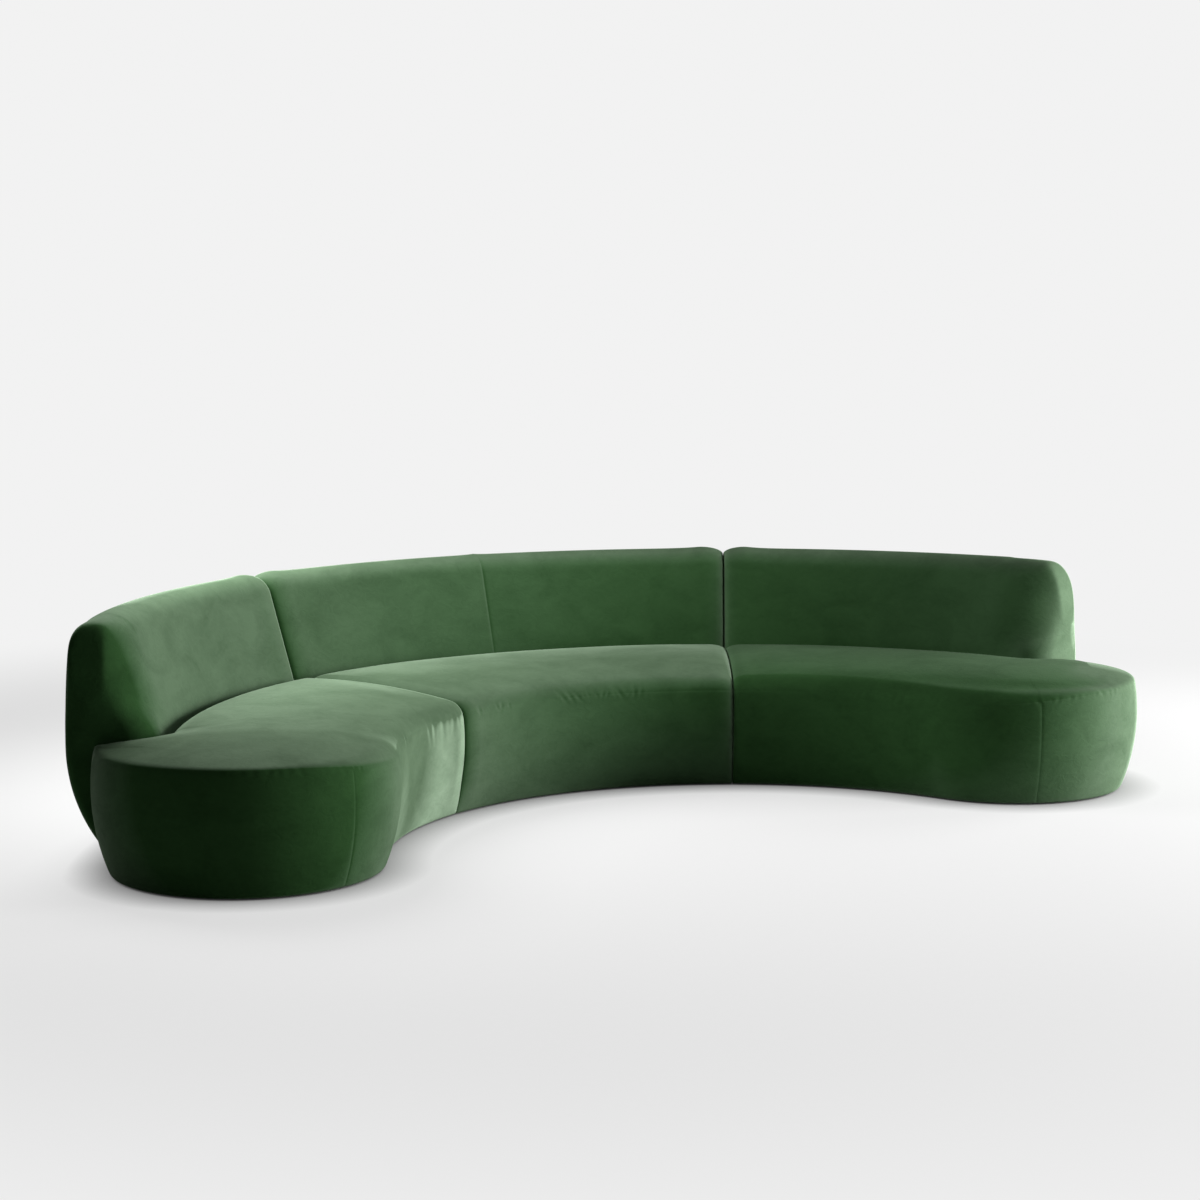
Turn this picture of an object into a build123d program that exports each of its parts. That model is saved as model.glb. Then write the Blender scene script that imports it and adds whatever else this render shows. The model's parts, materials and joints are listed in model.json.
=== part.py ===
from build123d import *

import os
from math import asin, atan2, cos, degrees, hypot, radians, sin, sqrt, tan

# Curved sectional sofa: a centre unit and two end units with round noses, all in tight velvet.
# Millimetres and degrees. +Z is up, the sitting side faces -Y, the origin is on the floor.
# Plan angles are counted from the +Y axis, to either side, about the centre of the curve.

# Plan of the curve
front_radius = 1114.0
seat_depth = 742.0
back_depth = 304.0
centre_half_angle = 28.6
end_angle = 67.6
nose_radius = 484.0

# Gaps and rounded edges between the upholstered pieces
unit_gap = 3.0
seam_gap = 1.0
joint_edge_radius = 22.0
back_end_radius = 100.0
end_edge_radius = 28.0
end_top_reach = 95.0
end_top_drop = 230.0
valley_radius = 70.0

# Seat section
seat_height = 443.0
seat_edge_height = 403.0
seat_edge_radius = 72.0
seat_bulge_height = 270.0
seat_tuck = 54.0

# Back section
back_height = 793.0
back_cap_radius = 90.0
back_cap_setback = 202.0
back_bulge_height = 393.0
back_tuck = 170.0
recline_height = 380.0
recline_radius = 300.0

# Layers
cover_thickness = 3.0
cover_overhang = 2.0
dust_cover_thickness = 1.0
dust_cover_margin = 25.0
board_thickness = 18.0
rail_thickness = 20.0
rail_setback = 70.0
deck_height = 250.0
webbing_thickness = 2.0
webbing_width = 60.0
webbing_landing = 18.0
nose_strap_start = 80.0
nose_strap_pitch = 100.0
joint_pad = 4.0
front_foam_thickness = 60.0
front_foam_drop = 50.0
outer_foam_thickness = 20.0
fit = 0.3

# Sewn seams of the covers
seam_depth = 1.2
seam_width = 2.4
top_seam_height = 362.0
nose_seam_turn = 46.0
seam_stop = 44.0

# Frame
rib_drop = 14.0
lower_rail_bottom = 80.0
lower_rail_height = 120.0
top_rail_height = 650.0
top_rail_width = 68.0
top_rail_thickness = 22.0
end_pad = 8.0

# Glides and fasteners
glide_height = 9.0
glide_radius = 25.0
glide_rim = 3.0
glide_margin = 110.0
glide_turn = 6.0
bolt_radius = 4.0
bolt_head_radius = 9.0
bolt_head_height = 5.0
bolt_height = 140.0
bolt_bite = 16.0
bolt_play = 0.5

# Connectors between the units
connector_margin = 150.0
tongue_width = 48.0
tongue_thickness = 3.0
tongue_reach = 42.0
tongue_root = 60.0
tongue_corner = 12.0
socket_wall = 1.5
socket_length = 60.0
socket_play = 1.0
socket_setback = 4.0

# Turn by which a ring runs past a unit's end before that end is cut square
spare_turn = 2.0

# How many of each in a unit
end_bays = 3
centre_bays = 4
end_straps = 5
centre_straps = 8
nose_straps = 3

# Worked out from the above
seat_back_radius = front_radius + seat_depth
outer_radius = seat_back_radius + back_depth
nose_centre_radius = front_radius + nose_radius
board_bottom = glide_height + dust_cover_thickness
board_top = board_bottom + board_thickness
underside = board_bottom - cover_overhang
foam_floor = deck_height + webbing_thickness + fit
inner = cover_thickness + fit
reach = 3 * outer_radius
centre_span = centre_half_angle + spare_turn
end_span = end_angle + spare_turn
joint_cavity = joint_edge_radius + joint_pad
joint_inset = joint_cavity + fit
end_cavity = max(back_end_radius, end_top_reach) + end_pad
end_inset = end_cavity + fit
front_rail_radius = front_radius + rail_setback
rear_rail_radius = seat_back_radius - seam_gap / 2 - inner
lower_rail_radius = seat_back_radius + seam_gap / 2 + inner
pocket_wall = seam_gap / 2 + inner
nose_front = nose_centre_radius * cos(radians(end_angle)) - nose_radius
curve_centre_y = -(outer_radius + seam_gap / 2 + nose_front) / 2
standing = (Align.CENTER, Align.CENTER, Align.MIN)

# Circles of the seat section, from the front face inwards
front_bulge = ((seat_bulge_height - underside) ** 2 + seat_tuck**2) / (2 * seat_tuck)
crown_rise = seat_height - seat_edge_height
crown_radius = (nose_radius**2 + crown_rise**2) / (2 * crown_rise)
crown_centre = (nose_radius, seat_height - crown_radius)

# Circles of the back section, from the back's front face outwards
cap_centre = (back_cap_setback, back_height - back_cap_radius)
cap_from_bulge = (back_cap_setback - back_depth, cap_centre[1] - back_bulge_height)
cap_overlap = cap_from_bulge[0] + back_cap_radius
upper_bulge = (back_cap_radius**2 - hypot(*cap_from_bulge) ** 2) / (2 * cap_overlap)
lower_bulge = ((back_bulge_height - underside) ** 2 + back_tuck**2) / (2 * back_tuck)
upper_centre = (back_depth - upper_bulge, back_bulge_height)
lower_centre = (back_depth - lower_bulge, back_bulge_height)
cap_rise = cap_centre[1] - recline_height
recline = atan2(back_cap_setback, cap_rise) - asin(back_cap_radius / hypot(back_cap_setback, cap_rise))


def upright(point, shift):
    """A section point as a place in the XZ plane."""
    return (point[0] + shift, 0, point[1])


def arc(centre, radius, start, end, shift):
    """The short arc of a section from start to end."""
    middle = ((start[0] + end[0]) / 2 - centre[0], (start[1] + end[1]) / 2 - centre[1])
    stretch = radius / hypot(*middle)
    bow = (centre[0] + middle[0] * stretch, centre[1] + middle[1] * stretch)
    return ThreePointArc(upright(start, shift), upright(bow, shift), upright(end, shift))


def line(start, end, shift):
    return Line(upright(start, shift), upright(end, shift))


def polygon(points, shift):
    """A straight-sided section."""
    places = [upright(point, shift) for point in points]
    return Face(Wire.make_polygon(places))


def rectangle(near, far, bottom, top):
    """A rectangular section between two radii."""
    return polygon([(near, bottom), (far, bottom), (far, top), (near, top)], 0)


def spin(section, first, last):
    """Turns a section about the curve's centre, between two plan angles."""
    return Rot(0, 0, 90 - last) * revolve(section, Axis.Z, last - first)


def upper_crossing(one, one_radius, two, two_radius):
    """The higher of the two points where two circles cross."""
    apart = (two[0] - one[0], two[1] - one[1])
    span = hypot(*apart)
    along = (one_radius**2 - two_radius**2 + span**2) / (2 * span)
    aside = sqrt(one_radius**2 - along**2)
    foot = (one[0] + along * apart[0] / span, one[1] + along * apart[1] / span)
    step = (aside * apart[1] / span, -aside * apart[0] / span)
    crossings = [(foot[0] + side * step[0], foot[1] + side * step[1]) for side in (-1, 1)]
    return max(crossings, key=lambda point: point[1])


def radial(angle, across=0, out=0, height=0):
    """A place in the frame of a radial line: across it, out along it, up from the floor."""
    turn = radians(angle)
    frame = Plane(origin=(0, 0, 0), x_dir=(cos(turn), -sin(turn), 0), z_dir=(0, 0, 1))
    return frame.location * Pos(across, out, height)


def plan_point(angle, across, out):
    turn = radians(angle)
    return (across * cos(turn) + out * sin(turn), -across * sin(turn) + out * cos(turn), 0)


def past(angle, distance):
    """All space beyond a radial plane, on the side where the plan angle grows."""
    return radial(angle, distance + reach / 2) * Box(reach, 2 * reach, reach)


def short_of(angle, distance):
    """All space on the other side of a radial plane."""
    return radial(angle, distance - reach / 2) * Box(reach, 2 * reach, reach)


def level(bottom, top):
    """All space between two heights."""
    return Pos(0, 0, bottom) * Box(2 * reach, 2 * reach, top - bottom, align=standing)


def mirrored(solid):
    return mirror(solid, about=Plane.YZ)


def board(angle, across, near, far, bottom, top, thickness):
    """A flat upright board along a radial line."""
    middle = (near + far) / 2
    box = Box(thickness, far - near, top - bottom, align=standing)
    return radial(angle, across, middle, bottom) * box


# Seat shapes


def crown_at(distance, inset):
    """Height of the seat's crown at a distance behind its front."""
    return crown_centre[1] + sqrt((crown_radius - inset) ** 2 - (distance - crown_centre[0]) ** 2)


def seat_section(inset, far, shift):
    """Drawn-in front, rounded top edge and crowned top, inset from the cover's outside."""
    bulge_centre = (front_bulge, seat_bulge_height)
    bulge = front_bulge - inset
    foot = (front_bulge - sqrt(bulge**2 - (seat_bulge_height - underside) ** 2), underside)
    corner = upper_crossing(bulge_centre, bulge, crown_centre, crown_radius - inset)
    rear = (far, crown_at(far, inset))
    heel = (far, underside)
    edges = [
        line(heel, foot, shift),
        arc(bulge_centre, bulge, foot, corner, shift),
        arc(crown_centre, crown_radius - inset, corner, rear, shift),
        line(rear, heel, shift),
    ]
    section = Face(Wire(edges))
    edge = section.vertices().sort_by_distance(upright(corner, shift))[0]
    return section.fillet_2d(seat_edge_radius - inset, [edge])


def nose_turn(section):
    """Turns a section, drawn from the nose's rim to its axis, round the nose."""
    axis = plan_point(end_angle, 0, nose_centre_radius)
    return Pos(*axis) * Rot(0, 0, 90 - end_angle) * revolve(section, Axis.Z, 180)


def end_corner():
    """Centre of the rounded corner between a back's front face and its end, and its plan angle."""
    across = -seam_gap / 2 - back_end_radius
    span = seat_back_radius + seam_gap / 2 + back_end_radius
    return across, sqrt(span**2 - across**2), end_angle + degrees(asin(across / span))


def corner_arc(radius):
    """A plan arc round that corner's centre, from the front face's side to the end's side."""
    across, out, angle = end_corner()
    middle = radians(90 + end_angle - angle) / 2
    start = plan_point(angle, 0, hypot(across, out) - radius)
    bow = plan_point(end_angle, across + radius * sin(middle), out - radius * cos(middle))
    end = plan_point(end_angle, across + radius, out)
    return ThreePointArc(start, bow, end), start, end


def end_pocket(inset):
    """The space that the end unit's back stands in, with a flared rim round the seat's rear edge."""
    front = seat_back_radius - seam_gap / 2 - inset
    side = seam_gap / 2 + inset
    across, out, angle = end_corner()
    corner_radius = side - across
    bend, bend_start, bend_end = corner_arc(corner_radius)
    start = plan_point(0, 0, front)
    far_start = plan_point(0, 0, reach)
    far_end = plan_point(end_angle, side, reach / 2)
    edges = [
        ThreePointArc(start, plan_point(angle / 2, 0, front), bend_start),
        bend,
        Line(bend_end, far_end),
        Line(far_end, far_start),
        Line(far_start, start),
    ]
    space = extrude(Face(Wire(edges)), back_height, dir=(0, 0, 1))
    rim = rim_section(inset)
    space += spin(rim_face(rim, front, -1), 0, angle)
    around = revolve(rim_face(rim, corner_radius, 1), Axis.Z, 90 + angle - end_angle)
    space += Pos(*plan_point(end_angle, across, out)) * Rot(0, 0, -end_angle) * around
    straight = extrude(rim_face(rim, side, 1), reach / 4, dir=(0, 1, 0))
    space += radial(end_angle, 0, out) * straight
    return space


def rim_section(inset):
    """Rounding of the seat's rear edge: its radius and the height where it starts."""
    radius = valley_radius - inset
    top = crown_at(seat_depth - valley_radius, inset) + fit
    return radius, top


def rim_face(rim, start, side):
    """What the rounding takes away, beside an upright wall that stands at start."""
    radius, top = rim
    foot = (start - side * fit, top - radius)
    wall = (start, top - radius)
    centre = (start + side * radius, top - radius)
    crest = (start + side * radius, top)
    lid = (crest[0], back_height)
    edges = [
        line(foot, wall, 0),
        arc(centre, radius, wall, crest, 0),
        line(crest, lid, 0),
        line(lid, (foot[0], back_height), 0),
        line((foot[0], back_height), foot, 0),
    ]
    return Face(Wire(edges))


def face_at(solid, angle, distance):
    """The flat face of a solid that lies in, or nearest, a radial plane."""
    plane = Plane(radial(angle, distance))
    flat = [face for face in solid.faces() if face.geom_type == GeomType.PLANE]
    facing = [face for face in flat if abs(face.normal_at().dot(plane.x_dir)) > 0.999]
    return min(facing, key=lambda face: abs(plane.to_local_coords(face.center()).X))


def rounded_at_joint(solid, angle, side, inset):
    """Rounds a solid where it meets the next unit, except under it."""
    joint = face_at(solid, angle, side * (unit_gap / 2 + inset))
    edges = [edge for edge in joint.edges() if edge.center().Z > underside + 1]
    return fillet(edges, joint_edge_radius - inset)


def end_seat(inset):
    """Seat of the right-hand end unit."""
    far = seat_depth + valley_radius
    ring = spin(seat_section(inset, far, front_radius), 0, end_angle)
    ring -= before_end(inset)
    ring = rounded_at_joint(ring, centre_half_angle, 1, inset)
    nose = nose_turn(seat_section(inset, nose_radius, -nose_radius))
    return ring + nose - end_pocket(inset)


def centre_seat(inset):
    """Seat of the centre unit."""
    far = seat_depth + valley_radius
    ring = spin(seat_section(inset, far, front_radius), -centre_span, centre_span)
    seat = centre_trim(ring, inset)
    front = seat_back_radius - seam_gap / 2 - inset
    space = spin(rectangle(front, reach, 0, back_height), -centre_span, centre_span)
    space += spin(rim_face(rim_section(inset), front, -1), -centre_span, centre_span)
    return seat - space


def centre_trim(solid, inset):
    """Cuts and rounds both ends of a centre piece."""
    for side in (-1, 1):
        angle = side * centre_half_angle
        gap = unit_gap / 2 + inset
        solid -= past(angle, -gap) if side > 0 else short_of(angle, gap)
        solid = rounded_at_joint(solid, angle, -side, inset)
    return solid


# Back shapes


def back_section(inset):
    """Reclined front, round top and barrel-shaped outside, inset from the cover's outside."""
    cap = back_cap_radius - inset
    toe = (inset, underside)
    knee = (inset, recline_height - inset * tan(recline / 2))
    front_touch = (cap_centre[0] - cap * cos(recline), cap_centre[1] + cap * sin(recline))
    top = (cap_centre[0], cap_centre[1] + cap)
    lean = (cap_centre[0] - upper_centre[0], cap_centre[1] - upper_centre[1])
    stretch = cap / hypot(*lean)
    rear_touch = (cap_centre[0] + lean[0] * stretch, cap_centre[1] + lean[1] * stretch)
    belly = (back_depth - inset, back_bulge_height)
    lower = lower_bulge - inset
    heel = (lower_centre[0] + sqrt(lower**2 - (back_bulge_height - underside) ** 2), underside)
    shift = seat_back_radius + seam_gap / 2
    edges = [
        line(toe, knee, shift),
        line(knee, front_touch, shift),
        arc(cap_centre, cap, front_touch, top, shift),
        arc(cap_centre, cap, top, rear_touch, shift),
        arc(upper_centre, upper_bulge - inset, rear_touch, belly, shift),
        arc(lower_centre, lower, belly, heel, shift),
        line(heel, toe, shift),
    ]
    section = Face(Wire(edges))
    bend = section.vertices().sort_by_distance(upright(knee, shift))[0]
    return section.fillet_2d(recline_radius - inset, [bend])


def end_back(inset):
    """Back of the right-hand end unit, with its end rounded all round."""
    stop = end_angle - degrees((seam_gap / 2 + inset) / seat_back_radius)
    back = spin(back_section(inset), 0, stop)
    back -= before_end(inset)
    back = rounded_at_joint(back, centre_half_angle, 1, inset)
    edges = [edge for edge in face_at(back, stop, 0).edges() if edge.center().Z > underside + 1]
    back = fillet(edges, end_edge_radius - inset)
    return back - front_corner(inset) - top_corner(inset)


def front_corner(inset):
    """What the rounding between the back's front face and its end takes away."""
    out = end_corner()[1]
    bend, bend_start, bend_end = corner_arc(back_end_radius - inset)
    beside = plan_point(end_angle, back_end_radius, out)
    outside = plan_point(end_angle, back_end_radius, out - 2 * back_end_radius)
    edges = [bend, Line(bend_end, beside), Line(beside, outside), Line(outside, bend_start)]
    return extrude(Face(Wire(edges)), reach, dir=(0, 0, 1))


def top_corner(inset):
    """What the rounding between the back's top and its end takes away."""
    across = -seam_gap / 2 - end_top_reach
    bottom = back_height - end_top_drop
    reach_in, drop_in = end_top_reach - inset, end_top_drop - inset
    sweep = EllipticalCenterArc((across, bottom), reach_in, drop_in, start_angle=0, arc_size=90)
    flank, crest = (across + reach_in, bottom), (across, bottom + drop_in)
    far = (reach, reach)
    edges = [Plane.XZ * sweep, line(crest, (across, reach), 0), line((across, reach), far, 0)]
    edges += [line(far, (reach, bottom), 0), line((reach, bottom), flank, 0)]
    space = extrude(Face(Wire(edges)), reach, dir=(0, 1, 0))
    return radial(end_angle, 0, seat_back_radius - back_depth) * space


def centre_back(inset):
    """Back of the centre unit."""
    return centre_trim(spin(back_section(inset), -centre_span, centre_span), inset)


# Seat pieces


def end_plan(near, nose_inset, far, bottom, top, joint):
    """A flat-sided block under an end seat: a ring sector that runs out in the nose."""
    ring = spin(rectangle(near, far, bottom, top), 0, end_angle)
    ring -= before_end(joint)
    return ring + nose_turn(rectangle(nose_inset - nose_radius, 0, bottom, top))


def centre_plan(near, far, bottom, top, joint):
    """A ring sector that ends square to both joints."""
    ring = spin(rectangle(near, far, bottom, top), -centre_span, centre_span)
    return ring - beyond_centre(joint)


def beyond_centre(inset):
    """All space past either end of the centre unit, less an inset."""
    gap = unit_gap / 2 + inset
    return past(centre_half_angle, -gap) + short_of(-centre_half_angle, gap)


def before_end(inset):
    """All space before the joint of the right-hand end unit, plus an inset."""
    return short_of(centre_half_angle, unit_gap / 2 + inset)


def end_sector(near, far, bottom, top):
    """A ring sector of an end unit's frame, from the joint to the nose."""
    return spin(rectangle(near, far, bottom, top), 0, end_angle) - before_end(joint_inset)


def between_rails(across):
    """Where a board at a distance beside a radial line starts and stops between the rails."""
    least = max(0, abs(across) - board_thickness / 2)
    most = abs(across) + board_thickness / 2
    near = sqrt((front_rail_radius + rail_thickness) ** 2 - least**2) + fit
    far = sqrt((rear_rail_radius - rail_thickness) ** 2 - most**2) - fit
    return near, far


def seat_board(angle, across):
    near, far = between_rails(across)
    return board(angle, across, near, far, board_top, deck_height - rib_drop, board_thickness)


def strap(angle):
    """One webbing strap from the front rail to the rear rail."""
    near = front_rail_radius + rail_thickness - webbing_landing
    far = sqrt((rear_rail_radius - rail_thickness + webbing_landing) ** 2 - (webbing_width / 2) ** 2)
    return board(angle, 0, near, far, deck_height, deck_height + webbing_thickness, webbing_width)


def nose_strap(across):
    """One webbing strap over the nose, from rail to rail."""
    rim = nose_radius - rail_setback - rail_thickness + webbing_landing
    half = sqrt(rim**2 - (across + webbing_width / 2) ** 2)
    near, far = nose_centre_radius - half, nose_centre_radius + half
    return board(end_angle, across, near, far, deck_height, deck_height + webbing_thickness, webbing_width)


def end_rails():
    """Front, nose and rear rails of the right-hand end seat."""
    front = end_sector(front_rail_radius, front_rail_radius + rail_thickness, board_top, deck_height)
    rim = rail_setback - nose_radius
    nose = nose_turn(rectangle(rim, rim + rail_thickness, board_top, deck_height))
    back_side = radial(end_angle, pocket_wall - reach / 2, nose_centre_radius + reach / 2)
    nose -= back_side * Box(reach, reach, reach)
    rear_section = rectangle(rear_rail_radius - rail_thickness, rear_rail_radius, board_top, deck_height)
    rear = spin(rear_section, 0, end_span) - past(end_angle, pocket_wall) - before_end(joint_inset)
    return front, nose, rear


def top_seam(seat, shallow, rear):
    """Groove of the seam between the seat's top panel and its front, as a solid to take away."""
    band = level(top_seam_height - seam_width / 2, top_seam_height + seam_width / 2)
    return (seat & band) - shallow - rear


def nose_seam(seat, shallow):
    """Groove of the upright seam on the nose, below the top seam."""
    blade = Box(seam_width, nose_radius, reach, align=(Align.CENTER, Align.MAX, Align.CENTER))
    slot = radial(end_angle, 0, nose_centre_radius) * Rot(0, 0, nose_seam_turn) * blade
    return (seat & slot & level(underside, top_seam_height)) - shallow


def end_seat_ribs():
    """Boards between the rails of the right-hand end seat, and round its nose."""
    ribs = [seat_board(centre_half_angle, unit_gap / 2 + joint_inset + board_thickness / 2)]
    edges = bay_edges(centre_half_angle, end_angle, end_bays)
    ribs += [seat_board(angle, 0) for angle in edges[1:]]
    rim = nose_radius - rail_setback - rail_thickness
    start = board_thickness / 2 + fit
    tip = sqrt(rim**2 - (board_thickness / 2) ** 2) - fit
    height = deck_height - rib_drop - board_top
    spine = Box(tip - start, board_thickness, height, align=(Align.MIN, Align.CENTER, Align.MIN))
    ribs.append(radial(end_angle, start, nose_centre_radius, board_top) * spine)
    near = rear_rail_radius - rail_thickness
    far = nose_centre_radius + sqrt(rim**2 - (pocket_wall + rail_thickness) ** 2) - fit
    across = pocket_wall + rail_thickness / 2
    ribs.append(board(end_angle, across, near, far, board_top, deck_height, rail_thickness))
    return ribs


def centre_seat_ribs():
    """Boards between the rails of the centre seat."""
    edges = bay_edges(-centre_half_angle, centre_half_angle, centre_bays)
    ribs = [seat_board(angle, 0) for angle in edges[1:-1]]
    aside = unit_gap / 2 + joint_inset + board_thickness / 2
    ribs.append(seat_board(centre_half_angle, -aside))
    ribs.append(seat_board(-centre_half_angle, aside))
    return ribs


def bay_edges(first, last, bays):
    return [first + (last - first) * bay / bays for bay in range(bays + 1)]


def bay_middles(first, last, bays):
    return [first + (last - first) * (bay + 0.5) / bays for bay in range(bays)]


# Back pieces


def front_zone(first, last, clear):
    """The space in front of the back's frame, where the leaning pad is."""
    depth = inner + front_foam_thickness + clear
    low = recline_height - front_foam_drop - clear
    knee = recline_height - depth * tan(recline / 2)
    crest = (front_line(reach, clear), reach)
    points = [(-depth, low), (depth, low), (depth, knee), crest, (-depth, reach)]
    return spin(polygon(points, seat_back_radius + seam_gap / 2), first, last)


def front_line(height, clear):
    """How far behind the back's front face the leaning pad ends, at a height."""
    depth = inner + front_foam_thickness + clear
    return depth + (height - recline_height + depth * tan(recline / 2)) * tan(recline)


def back_core(first, last, clear):
    """The space inside the padding of a back, where its frame is."""
    core = spin(back_section(inner + outer_foam_thickness + clear), first, last)
    low = recline_height - front_foam_drop - clear
    far = lower_rail_radius + front_foam_thickness
    core += spin(rectangle(lower_rail_radius, far, underside, low), first, last)
    return core - front_zone(first, last, clear) - level(-reach, board_top)


def back_rails(first, last, clear):
    """Sections of the top and lower rails of a back, turned between two angles."""
    top_near = lower_rail_radius - inner + front_line(top_rail_height + top_rail_thickness, fit)
    top_far = top_near + top_rail_width
    top_end = top_rail_height + top_rail_thickness
    top = rectangle(top_near - clear, top_far + clear, top_rail_height - clear, top_end + clear)
    lower_near, lower_far = lower_rail_radius, lower_rail_radius + rail_thickness
    lower_end = lower_rail_bottom + lower_rail_height
    lower = rectangle(lower_near - clear, lower_far + clear, lower_rail_bottom - clear, lower_end + clear)
    return spin(top, first, last), spin(lower, first, last)


def former(angle, across):
    """The flat space of one back rib."""
    return radial(angle, across, seat_back_radius) * Box(board_thickness, 4 * back_depth, reach)


def back_ribs(places, first, last):
    top, lower = back_rails(first, last, fit)
    core = back_core(first, last, fit) - top - lower
    return [core & former(angle, across) for angle, across in places]


# Fasteners and feet


def bolt(angle, grow, head):
    """A bolt from inside the seat's rear rail into the back's lower rail."""
    start = rear_rail_radius - rail_thickness - fit
    length = lower_rail_radius + bolt_bite - start
    shank = Cylinder(bolt_radius + grow, length, align=standing)
    if head:
        cap = Cylinder(bolt_head_radius, bolt_head_height, align=standing)
        shank += Pos(0, 0, -bolt_head_height) * cap
    return radial(angle, 0, start, bolt_height) * Rot(-90, 0, 0) * shank


def glide(place):
    """A moulded glide with a sloping rim."""
    foot = Cylinder(glide_radius, glide_height, align=standing)
    rim = foot.edges().filter_by(GeomType.CIRCLE).sort_by(Axis.Z)[0]
    return place * chamfer(rim, glide_rim)


def glide_rows():
    """Distances from the curve's centre: seat front, seat rear and under the back."""
    under_back = lower_rail_radius + (back_depth - back_tuck) / 2
    return front_radius + glide_margin, seat_back_radius - glide_margin, under_back


# Connectors


def tongue(out):
    """A flat steel tongue under the end unit, with a pad against the bottom."""
    low = glide_height - socket_wall - fit - tongue_thickness
    root = unit_gap / 2 + tongue_root
    tip = -unit_gap / 2 - tongue_reach
    half = tongue_width / 2
    shoulder = tip + tongue_corner
    nib = half - tongue_corner
    outline = [(root, half), (shoulder, half), (tip, nib), (tip, -nib), (shoulder, -half), (root, -half)]
    blank = Face(Wire.make_polygon([(x, y, 0) for x, y in outline]))
    plate = extrude(blank, tongue_thickness, dir=(0, 0, 1))
    pad_start = unit_gap / 2 + socket_setback
    pad_height = socket_wall + fit
    pad = Box(root - pad_start, tongue_width, pad_height, align=(Align.MIN, Align.CENTER, Align.MIN))
    return radial(centre_half_angle, 0, out, low) * (plate + Pos(pad_start, 0, tongue_thickness) * pad)


def socket(out):
    """A folded steel socket under the centre unit, open towards the joint."""
    slot_height = tongue_thickness + 2 * fit
    slot_width = tongue_width + 2 * socket_play
    shell = Box(
        socket_length,
        slot_width + 2 * socket_wall,
        slot_height + 2 * socket_wall,
        align=(Align.MAX, Align.CENTER, Align.MAX),
    )
    slot = Box(socket_length, slot_width, slot_height, align=(Align.MAX, Align.CENTER, Align.MAX))
    shell -= Pos(socket_wall, 0, -socket_wall) * slot
    return radial(centre_half_angle, -unit_gap / 2 - socket_setback, out, glide_height) * shell


# Whole units


def end_unit():
    """All pieces of the right-hand end unit."""
    seat, seat_inside = end_seat(0), end_seat(inner)
    back, back_inside = end_back(0), end_back(inner)
    bolts = bay_middles(centre_half_angle, end_angle, end_bays)
    holes = Part() + [bolt(angle, bolt_play, False) for angle in bolts]
    threads = Part() + [bolt(angle, fit, False) for angle in bolts]
    shallow = end_seat(seam_depth)
    unsewn = end_pocket(seam_stop) + before_end(seam_depth)
    seams = top_seam(seat, shallow, unsewn) + nose_seam(seat, shallow)
    front, nose, rear = end_rails()
    far = seat_back_radius + valley_radius
    core = end_plan(front_rail_radius - fit, rail_setback - fit, far, 0, foam_floor, joint_cavity)
    straps = [strap(angle) for angle in bay_middles(centre_half_angle, end_angle, end_straps)]
    straps += [nose_strap(nose_strap_start + nose_strap_pitch * row) for row in range(nose_straps)]
    last = end_angle - degrees(end_cavity / seat_back_radius)
    ends = before_end(joint_inset) + past(end_angle, -end_inset)
    top, lower = back_rails(0, end_angle, 0)
    joint_side = unit_gap / 2 + joint_inset + board_thickness / 2
    places = [(angle, 0) for angle in bay_edges(centre_half_angle, last, end_bays)[1:-1]]
    places += [(centre_half_angle, joint_side), (end_angle, -end_inset - board_thickness / 2)]
    frame_space = back_core(0, end_angle, 0) - past(end_angle, -end_cavity) - before_end(joint_cavity)
    pad_space = front_zone(0, end_span, 0)
    under_seat = end_plan(
        front_radius + seat_tuck + dust_cover_margin,
        seat_tuck + dust_cover_margin,
        rear_rail_radius,
        glide_height,
        board_bottom,
        dust_cover_margin,
    )
    under_seat -= end_pocket(dust_cover_margin)
    under_back = back_dust(0, end_angle) - past(end_angle, -end_cavity) - before_end(dust_cover_margin)
    glide_angles = (centre_half_angle + glide_turn, end_angle - glide_turn)
    feet = [radial(angle, 0, row) for row in glide_rows() for angle in glide_angles]
    feet.append(radial(end_angle, nose_radius - glide_margin, nose_centre_radius))
    outs = (front_radius + connector_margin, seat_back_radius - connector_margin)
    return {
        "seat_cover": seat - end_seat(cover_thickness) - holes - seams,
        "seat_foam": seat_inside & level(foam_floor, back_height),
        "side_foam": (seat_inside & level(board_top, foam_floor)) - core,
        "webbing": straps,
        "front_rail": front,
        "nose_rail": nose,
        "rear_rail": rear - holes,
        "seat_ribs": end_seat_ribs(),
        "base_board": seat_inside & level(board_bottom, board_top),
        "dust_cover": [under_seat, under_back],
        "glides": [glide(place) for place in feet],
        "back_cover": back - end_back(cover_thickness) - holes,
        "back_front_foam": back_inside & pad_space,
        "back_outer_foam": (back_inside & level(board_top, back_height)) - pad_space - frame_space,
        "back_ribs": back_ribs(places, 0, end_angle),
        "back_top_rail": top - ends,
        "back_lower_rail": lower - ends - threads,
        "back_base_board": back_inside & level(board_bottom, board_top),
        "back_bolts": [bolt(angle, 0, True) for angle in bolts],
        "connector_tongues": [tongue(out) for out in outs],
    }


def back_dust(first, last):
    """Dust cover strip under a back."""
    near = lower_rail_radius + dust_cover_margin - inner
    far = seat_back_radius + back_depth - back_tuck - dust_cover_margin
    return spin(rectangle(near, far, glide_height, board_bottom), first, last)


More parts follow.
